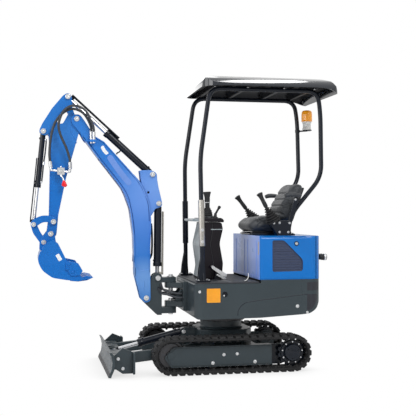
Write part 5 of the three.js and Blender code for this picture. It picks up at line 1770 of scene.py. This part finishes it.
@build("boom_flanges", BOOM_BLUE, "boom", bevel=2.5)
def flanges(bm):
    front = open_line([[676, 690]] + BOOM_FRONT[2:5] + [[953, 1582], [1075, 1747]])
    back = open_line([[985, 1752], [911, 1709]] + BOOM_BACK[3:7] + [[560, 904], [560, 720]])
    strip_between(bm, front, 9, BOOM_HALF)
    strip_between(bm, back, 9, BOOM_HALF)


@build_both("boom_forks", BOOM_BLUE, "boom", bevel=3)
def doublers(bm, s):
    foot = BOOM_FOOT_END + [[632, 520, 40], [678, 703, 6], [682, 770, 10], [621, 732, 60], [560, 752, 10], [560, 701]]
    side_plate(bm, foot, s, 51, BOOM_HALF)
    tip = [[985, 1752, 6], [1000, 1700, 30], [1056, 1716, 40], [1085, 1764, 10], [1150, 1842, 36], [1156, 1900, 40],
           [1096, 1916, 40], [1056, 1862, 40]]
    side_plate(bm, tip, s, 51, BOOM_HALF)


@build_both("boom_brackets", BOOM_BLUE, "boom", bevel=3)
def ears(bm, s):
    ear = [[640, 1496], [560, 1500, 40], [508, 1480, 36], [506, 1430, 26], [496, 1370, 60], [470, 1262, 40],
           [466, 1222, 30], [520, 1204, 26], [562, 1130, 40], [600, 1180]]
    side_plate(bm, ear, s, 34, 46)


combine(ears, lambda bm: cross_pin(bm, (574, 1329), 60, 9, 28))


def bead(bm, s, y, points, radius, swell):
    """A weld bead with ripples, at y on side s."""
    path = smooth_path([(x, s * y, z) for x, z in points], 14)
    sweep(bm, path, radius, 10, [radius + swell * math.sin(k * 1.9) for k in range(len(path))])


@build_both("boom_welds", BOOM_BLUE, "boom")
def boom_welds(bm, s):
    bead(bm, s, 52.5, [(561, 753), (590, 740), (621, 733), (650, 748), (680, 770)], 2.6, 0.7)
    bead(bm, s, 52.5, [(985, 1748), (997, 1703), (1030, 1704), (1056, 1716), (1084, 1762)], 2.6, 0.7)
    bead(bm, s, 47, [(560, 1150), (567, 1256), (600, 1350), (640, 1410), (690, 1466)], 2.6, 0.7)


def label(bm, first, last, w, low, high):
    """A blank plate with round ends on both sides of the boom, w wide each way from its middle line."""
    start, end = Vector(first), Vector(last)
    along = (end - start).normalized()
    side = Vector((-along.y, along.x))
    mid = (start + end) / 2 + side * 6
    line = [start, start.lerp(mid, 0.5) + side * 1.5, mid, mid.lerp(end, 0.5) + side * 1.5, end]
    left = [p + side * w for p in line]
    right = [p - side * w for p in reversed(line)]
    outline = [[p.x, p.y, w * 0.95 if p in (left[0], left[-1]) else 30] for p in left]
    outline += [[p.x, p.y, w * 0.95 if p in (right[0], right[-1]) else 30] for p in right]
    for y0, y1 in ((low, high), (-high, -low)):
        prism(bm, outline, SIDE, y0, y1)


build("boom_label_pale", LABEL, "boom")(lambda bm: label(bm, (926, 1676), (884, 1616), 13, 51.6, 53.2))
build("boom_label_tint", LABEL_TINT, "boom")(lambda bm: label(bm, (876, 1606), (712, 1388), 22, 51.6, 52.8))


# Dark blue lines along the flange edges and low at the back: painted shade in the crease between flange and plate.
@build_both("boom_seams", SEAM_SHADE, "boom")
def seams(bm, s):
    back = [(568, 1110), (580, 1250), (636, 1384), (724, 1488), (906, 1690), (976, 1742)]
    front = [(684, 800), (680, 1011), (706, 1206), (757, 1351), (940, 1586), (1066, 1756)]
    low = [(568, 760), (565, 900), (560, 1080)]
    for line, y in ((back, 52.4), (front, 52.4), (low, 52.2)):
        tube(bm, [(x, s * y, z) for x, z in line], 2.2, 8, 10)


@build_both("boom_foot_rib", BOOM_BLUE, "boom", bevel=1.5)
def foot_rib(bm, s):
    side_plate(bm, rect(604, 612, 588, 664, 5), s, 57, 61)


@build("boom_pins", ZINC, "boom")
def pins(bm):
    for (x, z), face, reach in ((BOOM_RAM_BRACKET, 46, 17), (ARM_RAM_BRACKET, 46, 17), (ARM_PIVOT, BOOM_HALF, 8)):
        for s in (1, -1):
            side_pin(bm, s, (x, z), face - 0.5, 20, reach)
        cross_pin(bm, (x, z), face, 14, 28)


# A black bar between the bracket ears, seen through their hole: painted shade.
build("bracket_hole_shade", BLACK, "boom")(lambda bm: cross_pin(bm, (574, 1329), 33, 12, 24))


@build("port_block", BOOM_BLUE, "boom", "service_port", bevel=2)
def ports(bm):
    box(bm, 978, 1024, 58.3, 114, 1702, 1720)


@build("port_unions", ZINC, "boom")
def unions(bm):
    for x, y, top in ((1010, 76, 1751), (990, 100, 1743)):
        rod(bm, (x, y, 1719), (x, y, 1730), 12, 6, 1)
        rod(bm, (x, y, 1728), (x, y, top), 10.5, 28, 1.5)
        rod(bm, (x, y, 1692), (x, y, 1703), 10, 6, 1)
        rod(bm, (x, y, top - 2), (x, y, top + 40), 11, 28, 2)


@build("boom_pipes", BLACK, "boom")
def lines(bm):
    for y in (-22, 0, 22):
        tube(bm, [(586, y, 790), (548, y, 840), (540, y, 900), (540, y, 1010), (546, y, 1092)], 5, 12)


# ------------------------------------------------------------------ arm
ARM_UPPER = [[1100, 1830, 36], [1146, 1957, 30], [1150, 2040, 40], [1176, 2076, 38], [1216, 2050, 60],
             [1296, 1954, 200], [1368, 1838, 120], [1394, 1780, 34], [1362, 1746, 34], [1322, 1762, 10],
             [1311, 1578], [1160, 1600]]
ARM_LOWER = [[1077, 1866, 40], [1090, 1910, 40], [1150, 1910, 40], [1300, 1800], [1311, 1578], [1319, 1161],
             [1337, 1024, 36], [1308, 978, 36], [1264, 1000, 38], [1249, 1161], [1193, 1433], [1100, 1766, 40]]
HOSE_WINDOW = [[1216, 1842, 20], [1262, 1836, 30], [1246, 1908, 60], [1190, 1946, 16], [1176, 1916, 16]]


@build("arm_box", BLUE, "arm", "arm", bevel=3)
def arm(bm):
    slab(bm, ARM_LOWER, 42, 0.1)


combine(arm, lambda bm: slab(bm, ARM_UPPER, 41, 0.1), "UNION")


EYE_ROOM = [[1120, 1962], [1150, 1930], [1300, 1880], [1400, 1900], [1300, 2100], [1120, 2100]]
RAM_ROOM = [[1334, 1850], [1420, 1850], [1420, 1700], [1326, 1700]]
for outline, half in ((HOSE_WINDOW, 100), (EYE_ROOM, 34), (RAM_ROOM, 26)):
    combine(arm, lambda bm: slab(bm, outline, half))


@build("arm_flanges", BLUE, "arm", bevel=2)
def flanges(bm):
    strip_between(bm, open_line([[1318, 1180], [1316, 1300], [1313, 1480], [1309, 1600], [1318, 1740]]), 7, ARM_HALF)
    strip_between(bm, open_line([[1110, 1735], [1150, 1590], [1193, 1433], [1249, 1161], [1257, 1100]]), 7, ARM_HALF)


@build_both("arm_plates", BLUE, "arm", bevel=2)
def plates(bm, s):
    plate = [[1150, 2040, 40], [1176, 2076, 38], [1216, 2050, 60], [1296, 1954, 200], [1368, 1838, 120],
             [1394, 1780, 34], [1362, 1746, 34], [1322, 1762, 30], [1290, 1800, 60], [1268, 1846, 60],
             [1250, 1912, 50], [1192, 1954, 20], [1150, 1962, 20]]
    side_plate(bm, plate, s, 40, ARM_HALF)
    boss = [[1077, 1866, 40], [1090, 1910, 40], [1140, 1912, 40], [1158, 1876, 30], [1134, 1836, 40],
            [1096, 1836, 30]]
    side_plate(bm, boss, s, 41, ARM_HALF)
    tip = [[1337, 1024, 36], [1308, 978, 36], [1264, 1000, 38], [1257, 1100, 20], [1252, 1140, 20], [1320, 1150, 20]]
    side_plate(bm, tip, s, 41, ARM_HALF)


@build_both("arm_welds", BLUE, "arm")
def arm_welds(bm, s):
    bead(bm, s, 42, [(1326, 1752), (1288, 1800), (1266, 1846), (1250, 1910)], 2.4, 0.6)
    bead(bm, s, 42, [(1252, 1140), (1286, 1147), (1320, 1150)], 2.4, 0.6)
    bead(bm, s, 42, [(1160, 1790), (1120, 1712), (1112, 1700)], 2.4, 0.6)


@build("arm_pins", ZINC, "arm")
def pins(bm):
    for s in (1, -1):
        side_pin(bm, s, ARM_RAM_END, 44.5, 20, 17)
        side_pin(bm, s, BUCKET_RAM_BASE, 44.5, 20, 16)
        side_pin(bm, s, ROCKER_PIVOT, 58.5, 20, 8)
    cross_pin(bm, BUCKET_RAM_BASE, 45, 12, 28)
    cross_pin(bm, ROCKER_PIVOT, 59, 15, 28)


@build("valve_block", ZINC, "arm", "service_valve", bevel=1.2)
def valve(bm):
    prism(bm, rect(1206, 1258, 1456, 1508, 4), SIDE, 45.3, 99)
    rod(bm, (1250, 78, 1482), (1288, 78, 1489), 9, 6, 1)
    rod(bm, (1218, 78, 1482), (1182, 78, 1477), 9, 6, 1)
    rod(bm, (1232, 98.5, 1482), (1232, 103, 1482), 13, 32, 1)
    rod(bm, (1232, 88, 1508), (1232, 88, 1520), 7, 6, 1)
    rod(bm, (1232, 88, 1460), (1226, 90, 1440), 11, 6, 1)
    rod(bm, (1227, 90, 1446), (1208, 96, 1404), 6, 20, 0.6)


@build("valve_handle", RED, "arm", bevel=1)
def handle(bm):
    radii = [8 + 3 * (k / 16) for k in range(17)]
    tube(bm, [(1212, 95, 1412), (1203, 97, 1392), (1196, 99, 1370)], 10, radii=radii)
    tube(bm, [(1212, 95, 1412), (1218, 97, 1390), (1222, 98, 1374)], 7)
    prism(bm, [[1192, 1366, 4], [1202, 1364, 4], [1226, 1372, 4], [1222, 1392, 6], [1206, 1404, 6]], SIDE, 93, 101)


@build("hose_ferrules", ZINC, "arm")
def elbows(bm):
    for points in ([(1286, 78, 1488), (1302, 78, 1489), (1305, 78, 1500), (1306, 78, 1524)],
                   [(1184, 78, 1477), (1168, 78, 1478), (1164, 78, 1490), (1164, 79, 1512)]):
        tube(bm, points, 7.5, 16)
    rod(bm, (1306, 78, 1514), (1311, 78.5, 1556), 14, 28, 2)
    rod(bm, (1306, 78, 1506), (1307, 78, 1520), 13, 6, 1)
    rod(bm, (1164, 79, 1506), (1166, 82, 1552), 14, 28, 2)
    rod(bm, (1164, 79, 1498), (1164, 79, 1512), 13, 6, 1)


front = [(1010, 76, 1752), (1010, 76, 1768), (1016, 84, 1830), (1066, 88, 1914), (1142, 88, 1946), (1216, 84, 1916),
         (1276, 82, 1840), (1306, 80, 1730), (1316, 80, 1620), (1312, 79, 1548)]
rear = [(990, 100, 1744), (990, 100, 1760), (1000, 106, 1830), (1056, 110, 1934), (1140, 112, 1968),
        (1214, 110, 1926), (1250, 106, 1830), (1236, 102, 1750), (1196, 96, 1660), (1170, 86, 1580), (1166, 82, 1545)]
for name, route in (("front", front), ("rear", rear)):
    hose = build(f"loop_hose_{name}", HOSE, None, f"service_hose_{name}")(lambda bm: tube(bm, route, 9.5, 18, 12))
    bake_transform(hose)

# ------------------------------------------------------------------ bucket and its linkage
BUCKET_SIDE = [[1258, 954, 6], [1290, 950, 40], [1330, 914, 40], [1382, 902, 60], [1406, 830, 120], [1370, 754, 120],
               [1296, 700, 90], [1190, 682, 200], [1100, 676], [1056, 690, 8], [1090, 706, 8], [1120, 762, 20],
               [1194, 824, 30]]


@build("bucket_shell", BLUE, "bucket", "bucket", bevel=3)
def bucket(bm):
    slab(bm, BUCKET_SIDE, 200, 0.07)


mouth = [[1252, 943, 4], [1284, 940, 34], [1326, 904, 34], [1372, 892, 50], [1396, 832, 110], [1362, 763, 110],
         [1290, 710, 80], [1188, 692, 190], [1090, 686], [1000, 700], [1000, 900], [1180, 990]]
combine(bucket, lambda bm: slab(bm, mouth, 191, 0.07))


@build_both("bucket_plates", BLUE, "bucket", bevel=2.5)
def trims(bm, s):
    top = [[1262, 950, 10], [1289, 977, 16], [1330, 962, 26], [1388, 906, 40], [1320, 858, 20], [1268, 900, 20]]
    side_plate(bm, top, s, 191.5, 200.8)
    cutter = [[1196, 826, 12], [1112, 806, 12], [1078, 748, 12], [1100, 716, 12], [1160, 712, 12], [1200, 770, 12]]
    side_plate(bm, cutter, s, 199, 211)
    ear = [[1274, 1000, 30], [1280, 1046, 32], [1332, 1042, 32], [1386, 970, 32], [1388, 898], [1330, 906],
           [1266, 944]]
    side_plate(bm, ear, s, 45.5, 57.5)


@build("bucket_teeth", BLUE, "bucket", bevel=2)
def lip(bm):
    slab(bm, [[1112, 670.5], [1170, 676], [1170, 684], [1104, 694], [1052, 698], [1036, 690]], 199)
    for y in (-168, -56, 56, 168):
        tooth = [[1112, 669.8], [1120, 694, 6], [1046, 712, 20], [996, 701, 3], [1046, 678, 20]]
        prism(bm, tooth, SIDE, y - 22, y + 22)


@build_both("cutter_bolts", BLUE, "bucket", bevel=0.6, segments=1)
def bolts(bm, s):
    for x, z in ((1178, 800), (1188, 768), (1150, 742)):
        side_bolt(bm, s, x, 210.5, z, 10)


@build("bucket_pins", ZINC, "bucket")
def pins(bm):
    for (x, z), radius in ((BUCKET_PIVOT, 20), (BUCKET_LINK_PIN, 18)):
        for s in (1, -1):
            side_pin(bm, s, (x, z), 57, radius, 8)
        cross_pin(bm, (x, z), 58, 14 if radius > 19 else 12.5, 28)


build("bucket_label", LABEL, "bucket")(
    lambda bm: prism(bm, [[1252, 878, 4], [1226, 834, 4], [1250, 820, 4], [1276, 864, 4]], SIDE, 199.5, 201))

arc = [[1256, 1100, 30], [1260, 1134, 30], [1300, 1152, 90], [1368, 1155, 120], [1440, 1123, 60], [1457, 1086, 30],
       [1430, 1058, 30], [1402, 1078, 40], [1366, 1104, 80], [1318, 1104, 30], [1300, 1078, 30]]
for hand, s in SIDES:
    build(f"rocker_plate_{hand}", BLUE, "bucket_rocker", f"bucket_rocker_{hand}", bevel=3)(
        lambda bm: side_plate(bm, arc, s, 45.6, 57.4))

    @build(f"rocker_pin_{hand}", ZINC, "bucket_rocker")
    def head(bm):
        side_pin(bm, s, ROCKER_END, 57, 18, 8)
        rod(bm, (ROCKER_END[0], s * 30, ROCKER_END[1]), (ROCKER_END[0], s * 57.5, ROCKER_END[1]), 11, 24)

link_line = [[1410, 1093, 22], [1436, 1109, 22], [1452, 1081, 22], [1434, 1020, 120], [1378, 943, 22],
             [1348, 935, 22], [1336, 963, 22], [1382, 1032, 120]]


@build("link_bars", BLUE, "bucket_link", "bucket_link", bevel=3)
def bars(bm):
    for s in (1, -1):
        side_plate(bm, link_line, s, 25.6, 43.8)
    cross_pin(bm, (1408, 1014), 43, 9, 28)


side = bucket_ram.side()
near, far = bucket_ram.along(62) - side * 18, bucket_ram.along(372) - side * 18


@build("curl_hoses", HOSE, "bucket_ram_barrel")
def curl_hoses(bm):
    for start, a, b, shares, out in ((60, near, far, (0.3, 0.55), (10, 12)), (378, far, near, (0.25, 0.42), (8, 9))):
        route = [bucket_ram.along(start) - side * 18, a - side * out[0]]
        route += [a.lerp(b, shares[0]) - side * out[1], a.lerp(b, shares[1]) - side * 8]
        tube(bm, route, 5.5, 14)


@build("curl_fittings", ZINC, "bucket_ram_barrel")
def curl_fittings(bm):
    for distance in (60, 378):
        spot = bucket_ram.along(distance) - side * 17
        rod(bm, spot, spot - side * 9, 9, 6, 1)
    middle = near.lerp(far, 0.56) - side * 8
    rod(bm, middle - bucket_ram.axis * 12, middle + bucket_ram.axis * 12, 8, 6, 1)


@build("crowd_hose", HOSE, "arm_ram_barrel")
def crowd_hose(bm):
    low, side = arm_ram.along(300) - arm_ram.side() * 26, arm_ram.side()
    route = [low, low - side * 16, low - side * 30 + arm_ram.axis * 6, low - side * 42 + arm_ram.axis * 2]
    tube(bm, route, 5.5, 14)
